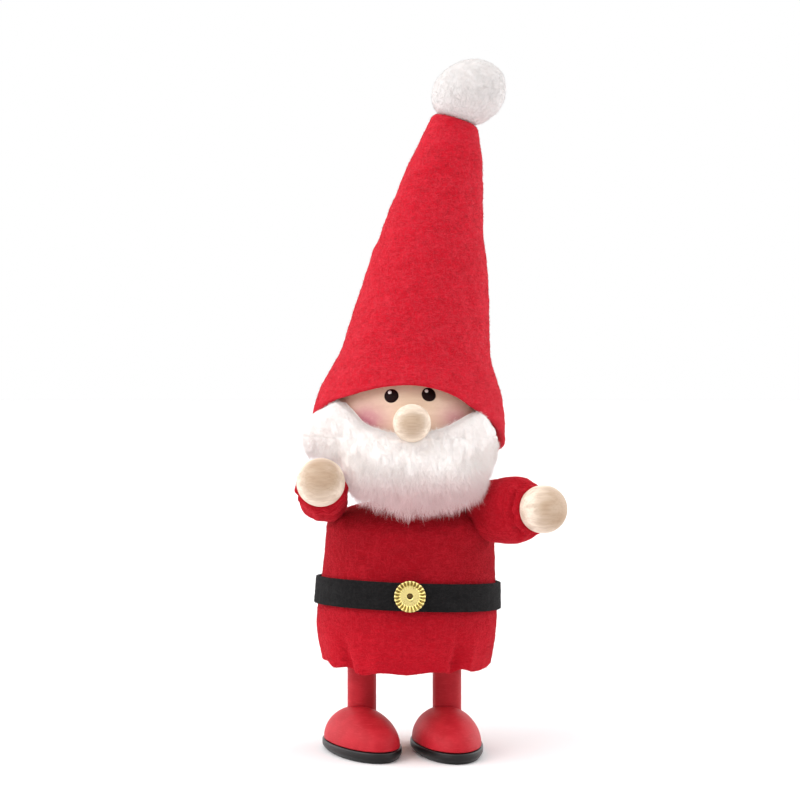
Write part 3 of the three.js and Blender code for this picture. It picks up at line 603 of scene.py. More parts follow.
def lean(points):
    """Leans an upright hat as its CAD node leans."""
    rise = np.maximum(0, points[..., 2] - HAT_BEND)
    tilt = np.radians(17.0 * rise / 69.8)
    run = hat_run(rise) + 0.45 * smooth(rise, 5, 25) + 0.3 * smooth(rise, 40, 60)
    moved = points.copy()
    moved[..., 2] = points[..., 2] - points[..., 0] * np.sin(tilt)
    moved[..., 0] = run + points[..., 0] * np.cos(tilt)
    return moved


azimuth, out_x, out_y = ring_angles(300)
brim = around(azimuth, HAT_BRIM, 5.0)
widen = 0.8 * bump(azimuth, -90, 28)


def hat_ring(height, inset, flare=0.0):
    radius = hat_radius(height) - inset + flare
    return np.stack([radius * out_x, radius * out_y, height * np.ones_like(out_x)], -1)


def edge_turn(angle):
    """Inset and lift of a point round the felt's cut edge, from its inside at -180 to 0 degrees."""
    turn = math.radians(angle)
    return FELT / 2 - math.cos(turn) * FELT / 2, math.sin(turn)


rows = []
inside = 46
for share in np.linspace(1, 0, inside):
    height = brim + 1.4 + (HAT_CEILING - brim - 1.4) * share**1.15
    thick = FELT + 0.3 * bump(height - brim, 0, 3)
    rows.append(hat_ring(height, thick, widen * bump(height - brim, 0, 5)))
for angle in np.linspace(-170, -10, 9):
    inset, lift = edge_turn(angle)
    rows.append(hat_ring(brim + 0.9 + 0.9 * lift, inset, 0.25 + widen))
for share in np.linspace(0, 1, 170):
    height = brim + 1.1 + (HAT_SHOULDER - brim - 1.1) * share**1.1
    flare = 0.25 * bump(height - brim, 0, 2.0) + widen * bump(height - brim, 0, 5)
    rows.append(hat_ring(height, 0, flare))
for angle in (20, 45, 68, 85):
    turn = math.radians(angle)
    height = HAT_SHOULDER + 1.6 * math.sin(turn) + 0 * brim
    rows.append(hat_ring(height, 1.9 * (1 - math.cos(turn)), 0))
for radius in (3.0, 1.5):
    rows.append(np.stack([radius * out_x, radius * out_y, 155.85 + 0 * out_x], -1))
rows = np.array(rows)
lumps = 0.22 * wobble(rows, 17, 11) + 0.10 * wobble(rows, 6.5, 12) + 0.05 * wobble(rows, 2.6, 13)
lumps += 0.03 * wobble(rows * (1, 1, 3.0), 2.2, 14)
lumps -= 0.16 * bump(rows[..., 2] - brim * 0.35 - 64.0, 0, 1.1)
lumps *= np.where(np.arange(len(rows)) < inside, 0.3, 1.0)[:, None]
rows[..., 0] += lumps * out_x
rows[..., 1] += lumps * out_y
rows = lean(rows)
first = lean(np.array([0, 0, HAT_CEILING + 0.3]))
last = lean(np.array([0, 0, 155.95]))
points, quads, tips = skin(rows, first, last)
hat = piece("hat_felt", points, quads, tips, red_felt, "red_felt", "torso")
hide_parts("hat")


def outside_hat(spot, normal):
    """1 for the hat's outer faces, and 0 for its inner ones."""
    across = spot[:, 0] - hat_run(np.maximum(0, spot[:, 2] - HAT_BEND))
    return (across * normal[:, 0] + spot[:, 1] * normal[:, 1] > -0.5).astype(float)


fuzz("hat_fuzz", hat, 26000, 1.0, 0.026, red_fibre, "red_felt", "torso", 0.5, 21, outside_hat)

# the loose filling inside the hat
low, high = 93.4, 150.5
rows = []
for share in np.linspace(0, 1, 60):
    height = low + (high - low) * share + 0 * out_x
    rows.append(hat_ring(height, FELT + 0.75))
rows = np.array(rows)
lumps = 0.25 * wobble(rows, 7, 31) - 0.3
rows[..., 0] += lumps * out_x
rows[..., 1] += lumps * out_y
under = []
for share in (0.4, 0.6, 0.8, 0.93):
    radius = hat_radius(low) - FELT - 1.3
    height = np.maximum(low - 0.2, HEAD[2] + np.sqrt(HEAD_RADIUS**2 - (radius * share) ** 2) + 0.5)
    under.append(np.stack([radius * share * out_x, radius * share * out_y, height + 0 * out_x], -1))
rows = lean(np.concatenate([np.array(under), rows]))
points, quads, tips = skin(rows, np.array([HEAD[0] + 1, 0, HEAD[2] + HEAD_RADIUS + 0.8]),
                           lean(np.array([0, 0, high + 0.4])))
stuffing = piece("filling_wool", points, quads, tips, filling, "white_filling", "torso")
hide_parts("hat_stuffing")

# ---------------------------------------------------------------- pompom

POMPOM = np.array([15.4, 0.0, 162.5])
POMPOM_RADIUS, POMPOM_HALF = 9.25, 7.95  # across and along its short axis
SEAT_TURN, POMPOM_TURN = 18, -43  # the hat's lean at its tip, and the short axis from there


def about_y(degrees):
    """Turns points from X towards -Z."""
    cos, sin = math.cos(math.radians(degrees)), math.sin(math.radians(degrees))
    return np.array([[cos, 0, -sin], [0, 1, 0], [sin, 0, cos]])


turn = np.radians(np.linspace(-90, 90, 82))[1:-1, None]
radius = POMPOM_RADIUS * np.cos(turn)
rows = np.stack([radius * out_x, radius * out_y, POMPOM_HALF * np.sin(turn) + 0 * out_x], -1)
swell = 1 + 0.016 * wobble(rows, 11, 41) + 0.008 * wobble(rows, 4, 42) + 0.003 * wobble(rows, 1.6, 43)
rows *= swell[..., None]
rows = rows @ about_y(POMPOM_TURN)
rows[..., 2] = np.maximum(rows[..., 2], -7.8 + 0.04 * rows[..., 0])
rows = rows @ about_y(SEAT_TURN) + POMPOM
ends = np.array([[0, 0, -POMPOM_HALF], [0, 0, POMPOM_HALF]])
ends = ends @ about_y(POMPOM_TURN) @ about_y(SEAT_TURN) + POMPOM
points, quads, tips = skin(rows, ends[0], ends[1])
pompom = piece("pompom_felt", points, quads, tips, white_felt, "white_felt", "torso")
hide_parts("pompom")
fuzz("pompom_fuzz", pompom, 16000, 0.7, 0.024, white_felt, "white_felt", "torso", 0.6, 44)

# ---------------------------------------------------------------- tunic

TUNIC_OUTLINE = [
    (20.0, 20.0), (21.5, 20.3), (24.3, 21.0), (26.8, 21.75), (29.3, 22.2), (32.0, 22.4), (35.5, 22.2),
    (38.0, 21.95), (41.5, 21.7), (44.3, 21.5), (49.3, 21.05), (54.0, 20.75),
]
HEM = [(-180, 21.2), (-150, 20.7), (-120, 21.7), (-100, 21.3), (-77, 22.2), (-60, 21.5), (-47, 22.3),
       (-42.5, 21.0), (-31, 20.7), (-18.5, 21.8), (0, 21.1), (19, 21.9), (29, 21.4), (36.0, 20.5),
       (39.5, 22.2), (54, 20.7), (77, 20.2), (100, 20.6), (130, 21.5), (160, 20.7)]
FOLDS = [  # azimuth, size and width
    (-58, 0.8, 6.5), (-43.5, -1.7, 4.0), (-33, 0.35, 4.5), (-19, 1.0, 6), (-3, -0.3, 8),
    (20, 0.4, 6), (34.5, -1.9, 3.7), (46, 1.15, 5.0), (58, -0.25, 5), (75, -0.5, 7), (96, 0.7, 8),
    (118, -0.9, 6), (146, 0.7, 9), (-178, -0.7, 8), (-148, 0.7, 8), (-122, -0.7, 6), (-95, 0.6, 8),
    (-76, -0.3, 6),
]
SHOULDER, DOME, SQUARENESS = 54.0, 7.6, 0.78
NECK_RADIUS = 3.9


def tunic_lean(height):
    return np.interp(height, [22, 32, 44, 54, 62], [0.0, -0.05, 0.4, 0.95, 0.8])


def tunic_radius(height):
    return softened(height, TUNIC_OUTLINE, 18.0, 56.0)


azimuth, out_x, out_y = ring_angles(320)
hem = around(azimuth, HEM, 1.6)
fold = np.zeros_like(azimuth)
for where, size, width in FOLDS:
    fold += size * bump((azimuth - where + 180) % 360 - 180, 0, width)


def tunic_ring(height, inset):
    height = height + 0 * out_x
    strength = 1 - smooth(height, 21.5, 33.5)
    radius = tunic_radius(height) + fold * strength - inset
    x = radius * out_x + tunic_lean(height)
    return np.stack([x, radius * out_y, height], -1)


def dome_ring(angle, inset):
    """The shoulder, a little squarer than an ellipse, because the felt stands off the wood there."""
    turn = math.radians(angle)
    radius = (tunic_radius(SHOULDER) - inset) * math.cos(turn) ** SQUARENESS
    height = SHOULDER + (DOME - inset) * math.sin(turn) ** SQUARENESS
    x = radius * out_x + tunic_lean(height)
    return np.stack([x, radius * out_y, height + 0 * out_x], -1)


def outside(spot, normal):
    """1 for faces that look away from the tunic's axis, and 0 for the others."""
    across = spot[:, 0] - 0.4
    return (across * normal[:, 0] + spot[:, 1] * normal[:, 1] > 0).astype(float)


neck_angle = math.degrees(math.acos((NECK_RADIUS / 20.7) ** (1 / SQUARENESS)))
rows = [dome_ring(angle, FELT) for angle in np.linspace(neck_angle, 4, 16)]
for share in np.linspace(1, 0, 60):
    rows.append(tunic_ring(hem + 0.8 + (SHOULDER - hem - 0.8) * share, FELT))
for angle in np.linspace(-165, -15, 7):
    inset, lift = edge_turn(angle)
    rows.append(tunic_ring(hem + 0.7 + 0.7 * lift, inset))
inner = len(rows) - 4
for share in np.linspace(0, 1, 130):
    rows.append(tunic_ring(hem + 0.8 + (SHOULDER - hem - 0.8) * share, 0))
rows += [dome_ring(angle, 0) for angle in np.linspace(3, neck_angle, 30)]
rows = np.array(rows)
lumps = 0.14 * wobble(rows, 14, 51) + 0.07 * wobble(rows, 5.5, 52) + 0.035 * wobble(rows, 2.2, 53)
lumps *= 1 - 0.8 * bump(rows[..., 2], 39.5, 4.0)
lumps *= np.where(np.arange(len(rows)) < inner, 0.3, 1.0)[:, None]
rows[..., 0] += lumps * out_x
rows[..., 1] += lumps * out_y
points, quads, tips = skin(rows, loop=True)
# painted light: the felt is painted a lighter red low on the skirt, fading out between 24 and 44 mm up;
# above that it keeps the darker, shaded red
painted_light = 0.75 * (1 - smooth(points[:, 2], 24, 44))
tunic = piece("tunic_felt_shaded", points, quads, tips, tunic_red_shaded, "red_felt", "torso", Tone=painted_light)
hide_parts("tunic")
fuzz("tunic_fuzz", tunic, 22000, 0.9, 0.022, tunic_red_shaded, "red_felt", "torso", 0.45, 54, outside)

# ---------------------------------------------------------------- belt and buckle

BELT_WIDTH, BELT_THICKNESS, BELT_GAP = 6.8, 1.0, 0.12
FLUTES = 24  # of the buckle
azimuth, out_x, out_y = ring_angles(280)


def belt_low(x, y):
    return 35.5 - 0.037 * x - 0.066 * y


# the strip's section, across its thickness and up its width, with its corners rounded
section = [(-0.53, BELT_WIDTH / 2)]
for across, height, start in ((0.16, 6.3, 0), (-0.16, 6.3, 90), (-0.16, 0.5, 180), (0.16, 0.5, 270)):
    for angle in (5, 45, 85):
        turn = math.radians(start + angle)
        section.append((across + 0.34 * math.cos(turn), height + 0.42 * math.sin(turn)))
section.sort(key=lambda spot: math.atan2(spot[1] - BELT_WIDTH / 2, spot[0]))
rows = []
for across, height in section:
    z = belt_low(22.2 * out_x, 22.2 * out_y) + height
    radius = tunic_radius(z) + BELT_GAP + BELT_THICKNESS / 2 + across
    radius = radius + 0.22 * smooth(abs(azimuth), 70, 95) * (height / BELT_WIDTH)
    radius = radius - 0.3 * bump(180 - abs(azimuth), 0, 0.9)
    rows.append(np.stack([radius * out_x + tunic_lean(z), radius * out_y, z], -1))
rows = np.array(rows)
lumps = 0.05 * wobble(rows, 4, 61) + 0.03 * wobble(rows, 1.5, 62)
rows[..., 0] += lumps * out_x
rows[..., 1] += lumps * out_y
points, quads, tips = skin(rows, loop=True)
belt = piece("belt_felt", points, quads, tips, black_felt, "black_felt", "torso")
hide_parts("belt")
fuzz("belt_fuzz", belt, 5000, 0.7, 0.022, black_felt, "black_felt", "torso", 0.5, 63, outside)

BUCKLE_SIDE = 0.66
BUCKLE_Z = float(belt_low(BUCKLE_SIDE, -22.6)) + BELT_WIDTH / 2 + 0.3
BUCKLE_FRONT = tunic_radius(BUCKLE_Z) + BELT_GAP + BELT_THICKNESS + 0.2
BUCKLE = np.array([BUCKLE_SIDE, -BUCKLE_FRONT, BUCKLE_Z])
turn = np.linspace(0, 2 * np.pi, 288, endpoint=False)
flutes = np.cos(FLUTES * turn)
side, rise, out = frame_of((0, -1, 0))


def buckle_ring(radius, height, wave):
    """Flutes fan over the cupped rim and leave its edge scalloped."""
    radius = (radius + 0.05 * wave * flutes)[:, None]
    height = (height + 0.2 * wave * flutes)[:, None]
    flat = radius * np.cos(turn)[:, None] * side + radius * np.sin(turn)[:, None] * rise
    return BUCKLE + flat + height * out


rows = []
for radius, height, wave in (
        (0.62, 0.05, 0), (1.9, 0.0, 0), (2.3, 0.04, 0.1), (2.75, 0.16, 0.5), (3.3, 0.36, 0.8),
        (3.62, 0.46, 0.6), (3.72, 0.54, 0.4), (3.76, 0.64, 0.3), (3.70, 0.74, 0.4), (3.5, 0.74, 0.7),
        (3.2, 0.64, 1.1), (2.85, 0.48, 1.2), (2.55, 0.36, 0.8), (2.3, 0.31, 0.2), (2.1, 0.30, 0),
        (1.5, 0.29, 0), (1.0, 0.28, 0), (0.78, 0.20, 0), (0.66, 0.10, 0)):
    rows.append(buckle_ring(radius, height, wave))
points, quads, tips = skin(np.array(rows), loop=True)
spread = points - BUCKLE
flute = np.cos(FLUTES * np.arctan2(spread @ rise, spread @ side))
# painted shade in the valleys between the flutes on the buckle's rim
groove_shade = smooth(-flute, -0.1, 0.8) * smooth(np.hypot(spread @ side, spread @ rise), 2.2, 2.9) * 0.85
buckle = piece("buckle_pressed", points, quads, tips, brass, "brass", "torso", Groove=groove_shade)
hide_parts("buckle")
profile = [(0, -7.0), (0.42, -6.9), (0.46, -0.1), (0.5, -0.04), (0.56, 0.06), (0.55, 0.14),
           (0.46, 0.24), (0.3, 0.31), (0.12, 0.34), (0, 0.345)]
points, quads, tips = lathe(profile, BUCKLE, (0, -1, 0), (0, 0, 1), 48)
pin = piece("buckle_nail", points, quads, tips, nail, "brass_nail", "torso")
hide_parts("buckle_pin")

# ---------------------------------------------------------------- legs and shoes

SOLE, SHOE_RISE = 2.7, 8.0
SHOE_BOTTOM = SOLE + 0.15
SHOE_WIDTH, TOE, HEEL = 16.4, 17.5, 12.5
LEG_RADIUS, LEG_TOP, SOCKET_FLOOR = 3.6, 39.0, SHOE_BOTTOM + 2.0
FEET = (("right", -11.2, -11.7, 22.0), ("left", 10.0, 9.6, 10.0))  # leg's x, shoe's x and its turn
SOLE_EDGE = (  # how far inside the outline, and how high
    (6, 0.0), (2.2, 0.0), (1.35, 0.0), (1.15, 0.05), (0.95, 0.2), (0.45, 0.7), (0.15, 1.05),
    (0.03, 1.3), (0.0, 1.6), (0.0, SOLE - 0.3), (0.08, SOLE - 0.09), (0.24, SOLE), (1.0, SOLE),
    (6, SOLE),
)


def foot_space(shoe, turn):
    """Takes a foot's own points to the body's: the foot is turned about its widest line."""
    angle = math.radians(turn)
    cos, sin = math.cos(angle), math.sin(angle)
    spin = np.array([[cos, -sin, 0], [sin, cos, 0], [0, 0, 1]])
    start = np.array([shoe, -4.0, 0])
    return (lambda p: p @ spin.T + start), (lambda p: (p - start) @ spin)


def outline_reach(start, ways, extra):
    """How far the egg-shaped outline lies from a point inside it, along each way."""
    near, far = np.zeros(len(ways)), np.full(len(ways), 60.0)
    for _ in range(40):
        half = (near + far) / 2
        spot = start + ways * half[:, None]
        long = np.where(spot[:, 1] < 0, TOE, HEEL) + extra
        within = (spot[:, 0] / (SHOE_WIDTH / 2 + extra)) ** 2 + (spot[:, 1] / long) ** 2 < 1
        near, far = np.where(within, half, near), np.where(within, far, half)
    return near


def shoe_top(spot):
    long = np.where(spot[..., 1] < 0, TOE, HEEL)
    left = 1 - (spot[..., 0] / (SHOE_WIDTH / 2)) ** 2 - (spot[..., 1] / long) ** 2
    return SHOE_BOTTOM + SHOE_RISE * np.sqrt(np.clip(left, 0, 1))


azimuth, out_x, out_y = ring_angles(180)
spokes = np.stack([out_x, out_y], -1)
for name, leg, shoe, turned in FEET:
    outward, inward = foot_space(shoe, turned)
    socket = inward(np.array([leg, 0.0, 0.0]))[:2]
    reach = outline_reach(socket, spokes, 0.0)

    def ring(share, height=None, hole=LEG_RADIUS + 0.12):
        spot = socket + spokes * (hole + (reach - hole) * share)[:, None]
        z = shoe_top(spot) if height is None else height + 0 * reach
        return np.concatenate([spot, z[:, None]], 1)

    rows = [ring(s + 0 * reach, SHOE_BOTTOM) for s in (0.1, 0.5, 0.9, 0.985)]
    rows += [ring(0.995 + 0 * reach, SHOE_BOTTOM + 0.08)]
    rows += [ring(1 - (1 - s) ** 2 + 0 * reach) for s in np.linspace(0.995, 0.0, 64)]
    rim = rows[-1].copy()
    rim[:, 2] -= 0.25
    floor = rim.copy()
    floor[:, 2] = SOCKET_FLOOR
    rows += [rim, floor]
    rows = outward(np.array(rows))
    centre = outward(np.array([[*socket, SHOE_BOTTOM], [*socket, SOCKET_FLOOR]]))
    points, quads, tips = skin(rows, centre[0], centre[1])
    points = points + 0.02 * wobble(points, 6, 71)[:, None] * (0, 0, 1)
    made = piece(f"shoe_painted_{name}", points, quads, tips, red_paint, "red_paint", "torso")
    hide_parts(f"shoe_{name}")

    proud = outline_reach(np.zeros(2), spokes, 0.4)
    rows = []
    for inset, height in SOLE_EDGE:
        spot = spokes * (proud - inset)[:, None]
        rows.append(np.concatenate([spot, np.full((len(spot), 1), height)], 1))
    rows = outward(np.array(rows))
    centre = outward(np.array([[0, 0, 0.0], [0, 0, SOLE]]))
    points, quads, tips = skin(rows, centre[0], centre[1])
    made = piece(f"sole_painted_{name}", points, quads, tips, black_paint, "black_paint", "torso")
    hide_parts(f"sole_{name}")

    foot = SOCKET_FLOOR + 0.1
    profile = [(0, foot), (LEG_RADIUS - 0.3, foot), (LEG_RADIUS, foot + 0.3)]
    for height in np.linspace(foot + 1, LEG_TOP - 1, 26):
        profile.append((LEG_RADIUS + 0.012 * math.sin(height * 1.7), height))
    profile += [(LEG_RADIUS, LEG_TOP - 0.4), (LEG_RADIUS - 0.4, LEG_TOP), (0, LEG_TOP)]
    points, quads, tips = lathe(profile, np.array([leg, 0.0, 0.0]), columns=80)
    made = piece(f"leg_painted_{name}", points, quads, tips, red_paint, "red_paint", "torso")
    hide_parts(f"leg_{name}")

# ---------------------------------------------------------------- sleeves and hands

HAND_RADIUS, ARM_REACH = 5.75, 18.8
ARMS = {
    "right": ((-20.9, -7.3, 60.2), (0.026, -0.912, 0.406)),
    "left": ((20.2, -7.1, 59.6), (0.645, -0.76, 0.087)),
}
SLEEVE_SIDE = np.array([
    (-3.4, 2.0), (-3.0, 4.0), (-2.0, 5.7), (-0.5, 6.9), (1.5, 7.6), (4.0, 8.0), (7.0, 8.15),
    (9.6, 8.1), (11.6, 7.7), (13.0, 7.05), (14.2, 6.35), (15.2, 5.95), (15.9, 5.75),
])


def clear_of_tunic(points, room):
    """Moves points out of the tunic, so that a sleeve lies pressed against it."""
    height = np.clip(points[..., 2], 20, SHOULDER + DOME)
    centre = tunic_lean(height)
    above = np.clip((height - SHOULDER) / (DOME + room), 0, 1) ** (2 / SQUARENESS)
    dome = (tunic_radius(SHOULDER) + room) * (1 - above) ** (SQUARENESS / 2)
    limit = np.where(height > SHOULDER, dome, tunic_radius(height) + room)
    x, y = points[..., 0] - centre, points[..., 1]
    away = np.hypot(x, y)
    grow = np.maximum(away, limit) / np.maximum(away, 1e-6)
    moved = points.copy()
    moved[..., 0] = centre + x * grow
    moved[..., 1] = y * grow
    return moved


turn = np.linspace(0, 2 * np.pi, 200, endpoint=False)
for name, (pivot, aim) in ARMS.items():
    slim, tuck = (0.86, 0.36) if name == "right" else (1.0, 0.0)
    pivot = np.array(pivot)
    side, rise, aim = frame_of(aim)
    spoke = np.cos(turn)[:, None] * side + np.sin(turn)[:, None] * rise
    seed = 81 if name == "right" else 82

    def sleeve_ring(along, inset):
        radius = np.interp(along, SLEEVE_SIDE[:, 0], SLEEVE_SIDE[:, 1])
        radius = radius * (1 + (slim - 1) * (1 - smooth(along, 9.0, 14.0)))
        below = np.clip(0.35 - spoke[:, 2] - 0.25 * spoke[:, 0], 0, 1.2)
        radius = radius * (1 - tuck * below**1.3 * (1 - smooth(along, 10.5, 15.0))) - inset
        narrow = 1 - 0.10 * math.sin(math.pi * min(1, max(0, along / 15.4)))
        oval = np.hypot(np.cos(turn) * narrow, np.sin(turn))
        pucker = 0.22 * np.cos(9 * turn + 1.3 + 0.2 * along) + 0.14 * np.cos(14 * turn + seed)
        crease = 0.75 * bump(along, 14.1, 0.42)
        crease = crease + 0.35 * bump(along, 11.9, 0.5) * (0.5 + 0.5 * np.cos(2 * turn + seed))
        crease = crease + 0.45 * bump(along, 4.2, 1.3) * (0.6 + 0.4 * np.cos(turn + seed))
        folds = smooth(along, 9.5, 14.0) * pucker - crease
        swell = radius * oval + folds * (1 if inset == 0 else 0.6)
        return pivot + along * aim + swell[:, None] * spoke

    rows = [sleeve_ring(along, 1.4) for along in np.linspace(-1.6, 15.2, 46)]
    for bend in np.radians((-150, -110, -70, -30)):
        rows.append(sleeve_ring(15.35 - 0.55 * math.sin(bend), 0.7 - 0.7 * math.cos(bend)))
    inner = len(rows) - 2
    rows += [sleeve_ring(along, 0) for along in np.linspace(15.3, -3.4, 120)]
    rows = np.array(rows)[::-1, ::-1]
    inner = len(rows) - inner
    lumps = 0.12 * wobble(rows, 9, seed) + 0.06 * wobble(rows, 4, seed + 1)
    lumps += 0.03 * wobble(rows, 2, seed + 2)
    away = unit(rows - (pivot + ((rows - pivot) @ aim)[..., None] * aim))
    rows = rows + lumps[..., None] * away
    rows = clear_of_tunic(rows, 0.12)
    rows[inner:] = clear_of_tunic(rows[inner:], 0.9)
    ends = clear_of_tunic(np.array([pivot - 3.45 * aim, pivot - 1.7 * aim]), 0.12)
    ends[1] = clear_of_tunic(ends[1:], 0.9)[0]
    points, quads, tips = skin(rows, ends[0], ends[1])
    # the sleeves use the shaded tunic felt, lifted about a third of the way by its painted light
    sleeve = piece(f"sleeve_felt_{name}", points, quads, tips, tunic_red_shaded, "red_felt", None,
                   Tone=np.full(len(points), 0.35))
    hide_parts(f"sleeve_{name}")

    def outer_only(spot, normal):
        along = (spot - pivot) @ aim
        away = spot - pivot - along[:, None] * aim
        return ((away * normal).sum(1) > 0).astype(float) * smooth(along, 0, 3)

    fluff = fuzz(f"sleeve_fuzz_{name}", sleeve, 6500, 0.8, 0.022, tunic_red_shaded, "red_felt", None, 0.45,
                 seed + 5, outer_only)
    start = place(pivot - 1.5 * aim)
    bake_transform(sleeve)
    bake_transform(fluff)

    centre = pivot + ARM_REACH * aim
    points, quads, tips = lathe(turned_ball(HAND_RADIUS, 1.6), centre, aim, columns=100)
    end_grain = smooth((points - centre) @ aim / HAND_RADIUS, 0.28 if name == "right" else 0.1, 0.9)
    end_grain = end_grain * (0.92 + 0.08 * wobble(points, 4, 88))
    hand = piece(f"hand_turned_{name}", points, quads, tips, hand_wood, "bare_wood", f"arm_{name}",
                 End=end_grain)
    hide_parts(f"hand_{name}")

# ---------------------------------------------------------------- beard

HEAD_CLEARANCE = 21.6  # the fleece's tips keep this far from the head's upright axis
BEARD_TOP = [(-100, 81.0), (-90, 81.5), (-75, 84.0), (-60, 85.6), (-52, 86.4), (-41, 84.1), (-32, 81.3),
             (-23, 80.1), (-15, 79.3), (-8, 78.8), (0, 78.5), (8, 78.9), (17, 79.7), (26, 80.5),
             (35, 82.0), (43, 83.2), (50, 83.9), (60, 82.0), (75, 79.0), (85, 77.0)]
BEARD_LOW = [(-100, 73.3), (-90, 72.6), (-75, 72.8), (-62, 72.6), (-52, 70.0), (-44, 66.0), (-36, 63.4),
             (-27, 62.2), (-19, 61.6), (-12, 61.0), (-4, 59.7), (5, 59.4), (12, 60.1), (20, 60.7),
             (29, 61.5), (38, 62.1), (47, 64.0), (56, 67.0), (66, 70.0), (85, 73.0)]


def fleece_edge(angle, table):
    """Height of the fleece's top or lower edge at an azimuth."""
    return softened(angle, table, -110, 96, 1.0, 5)


def beard_point(angle, share, depth):
    """A point of the fleece at an azimuth: share goes from its top edge to its lower edge, and
    depth from the skin under it, 0, to its outside, 1."""
    high, low = fleece_edge(angle, BEARD_TOP), fleece_edge(angle, BEARD_LOW) + 2.2
    height = high + (low - high) * share
    above = np.clip(height - HEAD[2], -20, 20)
    ball = np.sqrt(np.maximum(0, (HEAD_RADIUS + 0.35) ** 2 - above**2))
    hang = np.where(height < 78, np.maximum(ball, 20.3), ball)
    side = smooth(abs(angle + 3), 34, 50) * (1 - smooth(share, 0.2, 0.6))
    thick = 0.6 + 2.3 * smooth(share, -0.06, 0.12) + 2.1 * smooth(share, 0.05, 0.42)
    thick = thick - 1.5 * smooth(share, 0.6, 1.08) + 1.5 * side
    thick = thick * (1 - 0.55 * smooth(abs(angle + 5), 62, 92)) * (1 - 0.45 * smooth(angle, 42, 66))
    extra = 2.1 * smooth(-angle, 46, 74) * smooth(share, 0.12, 0.6)
    radius = hang + (thick + extra) * depth
    turn = np.radians(angle)
    x = HEAD[0] + radius * np.sin(turn)
    y = HEAD[1] - radius * np.cos(turn)
    return np.stack([x, y, height + 0 * radius], -1)


def end_thinness(angle):
    """1 over the front, falling to 0.15 at the fleece's two ends."""
    return 1 - 0.85 * smooth(abs(angle + 9), 78, 87)


def fleece_lumps(points, share, thin):
    """How far the fleece's lumps, taller than they are wide, stand out."""
    tall = points * (1, 1, 0.45)
    lumps = 0.32 * wobble(tall, 5.2, 91) + 0.20 * wobble(tall, 2.6, 92)
    return lumps * smooth(share, -0.05, 0.08) * thin


across = np.linspace(-96, 78, 260)
grid_angle, grid_share = np.meshgrid(across, np.linspace(0, 1, 90))
thin = end_thinness(grid_angle)
outer = beard_point(grid_angle, grid_share, 0.12 + 0.88 * thin)
fine = 0.07 * wobble(outer * (1, 1, 0.45), 1.3, 93) * smooth(grid_share, -0.05, 0.08) * thin
lumps = fleece_lumps(outer, grid_share, thin) + fine
turn = np.radians(grid_angle)
outer[..., 0] += lumps * np.sin(turn)
outer[..., 1] -= lumps * np.cos(turn)
inner = beard_point(grid_angle, grid_share, 0.0)
hem_lift = 0.9 * wobble(np.stack([across, 0 * across, 0 * across], -1), 5.5, 94)
for side in (outer, inner):
    side[..., 2] += hem_lift * smooth(grid_share, 0.7, 1.0)
rows = np.concatenate([outer, inner[:, ::-1]], 1)
count, columns = rows.shape[:2]
points, quads, _ = skin(rows[::-1])
half = columns // 2
top = (count - 1) * columns
caps = []
for start, flip in ((0, True), (top, False)):
    for k in range(half - 1):
        a, b = start + k, start + k + 1
        c, d = start + columns - 2 - k, start + columns - 1 - k
        caps.append([a, d, c, b] if flip else [a, b, c, d])
# painted red bounce light and shade, growing towards the fleece's lower edge
painted_bounce_shade = (1 - smooth(points[:, 2], 60, 72)) * 0.6
beard = piece("beard_fleece_mass", points, np.concatenate([quads, np.array(caps)]), (), fleece,
              "white_fleece", "torso", Tinge=painted_bounce_shade)
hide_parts("beard_fleece")


def hand_at_stop(name):
    """Centre of a hand's ball where its arm is raised to the shoulder's stop."""
    pivot, aim = ARMS[name]
    centre = np.array(pivot) + ARM_REACH * unit(aim)
    joint = next(j for j in frame["joints"] if j["name"] == f"shoulder_{name}")
    origin = 1000 * np.array(joint["pos_m"])
    swing = Matrix.Rotation(math.radians(joint["range_deg"][0]), 3, Vector(joint["axis"]))
    return origin + np.array(swing) @ (centre - origin)


RAISED_HAND = hand_at_stop("right")
HAND_AT_REST = np.array(ARMS["right"][0]) + ARM_REACH * unit(ARMS["right"][1])


def push_clear(points, centre, reach):
    """Moves points that are inside a ball out to its surface."""
    away = points - centre
    distance = np.linalg.norm(away, axis=1, keepdims=True)
    return np.where(distance < reach, centre + away / distance * reach, points)


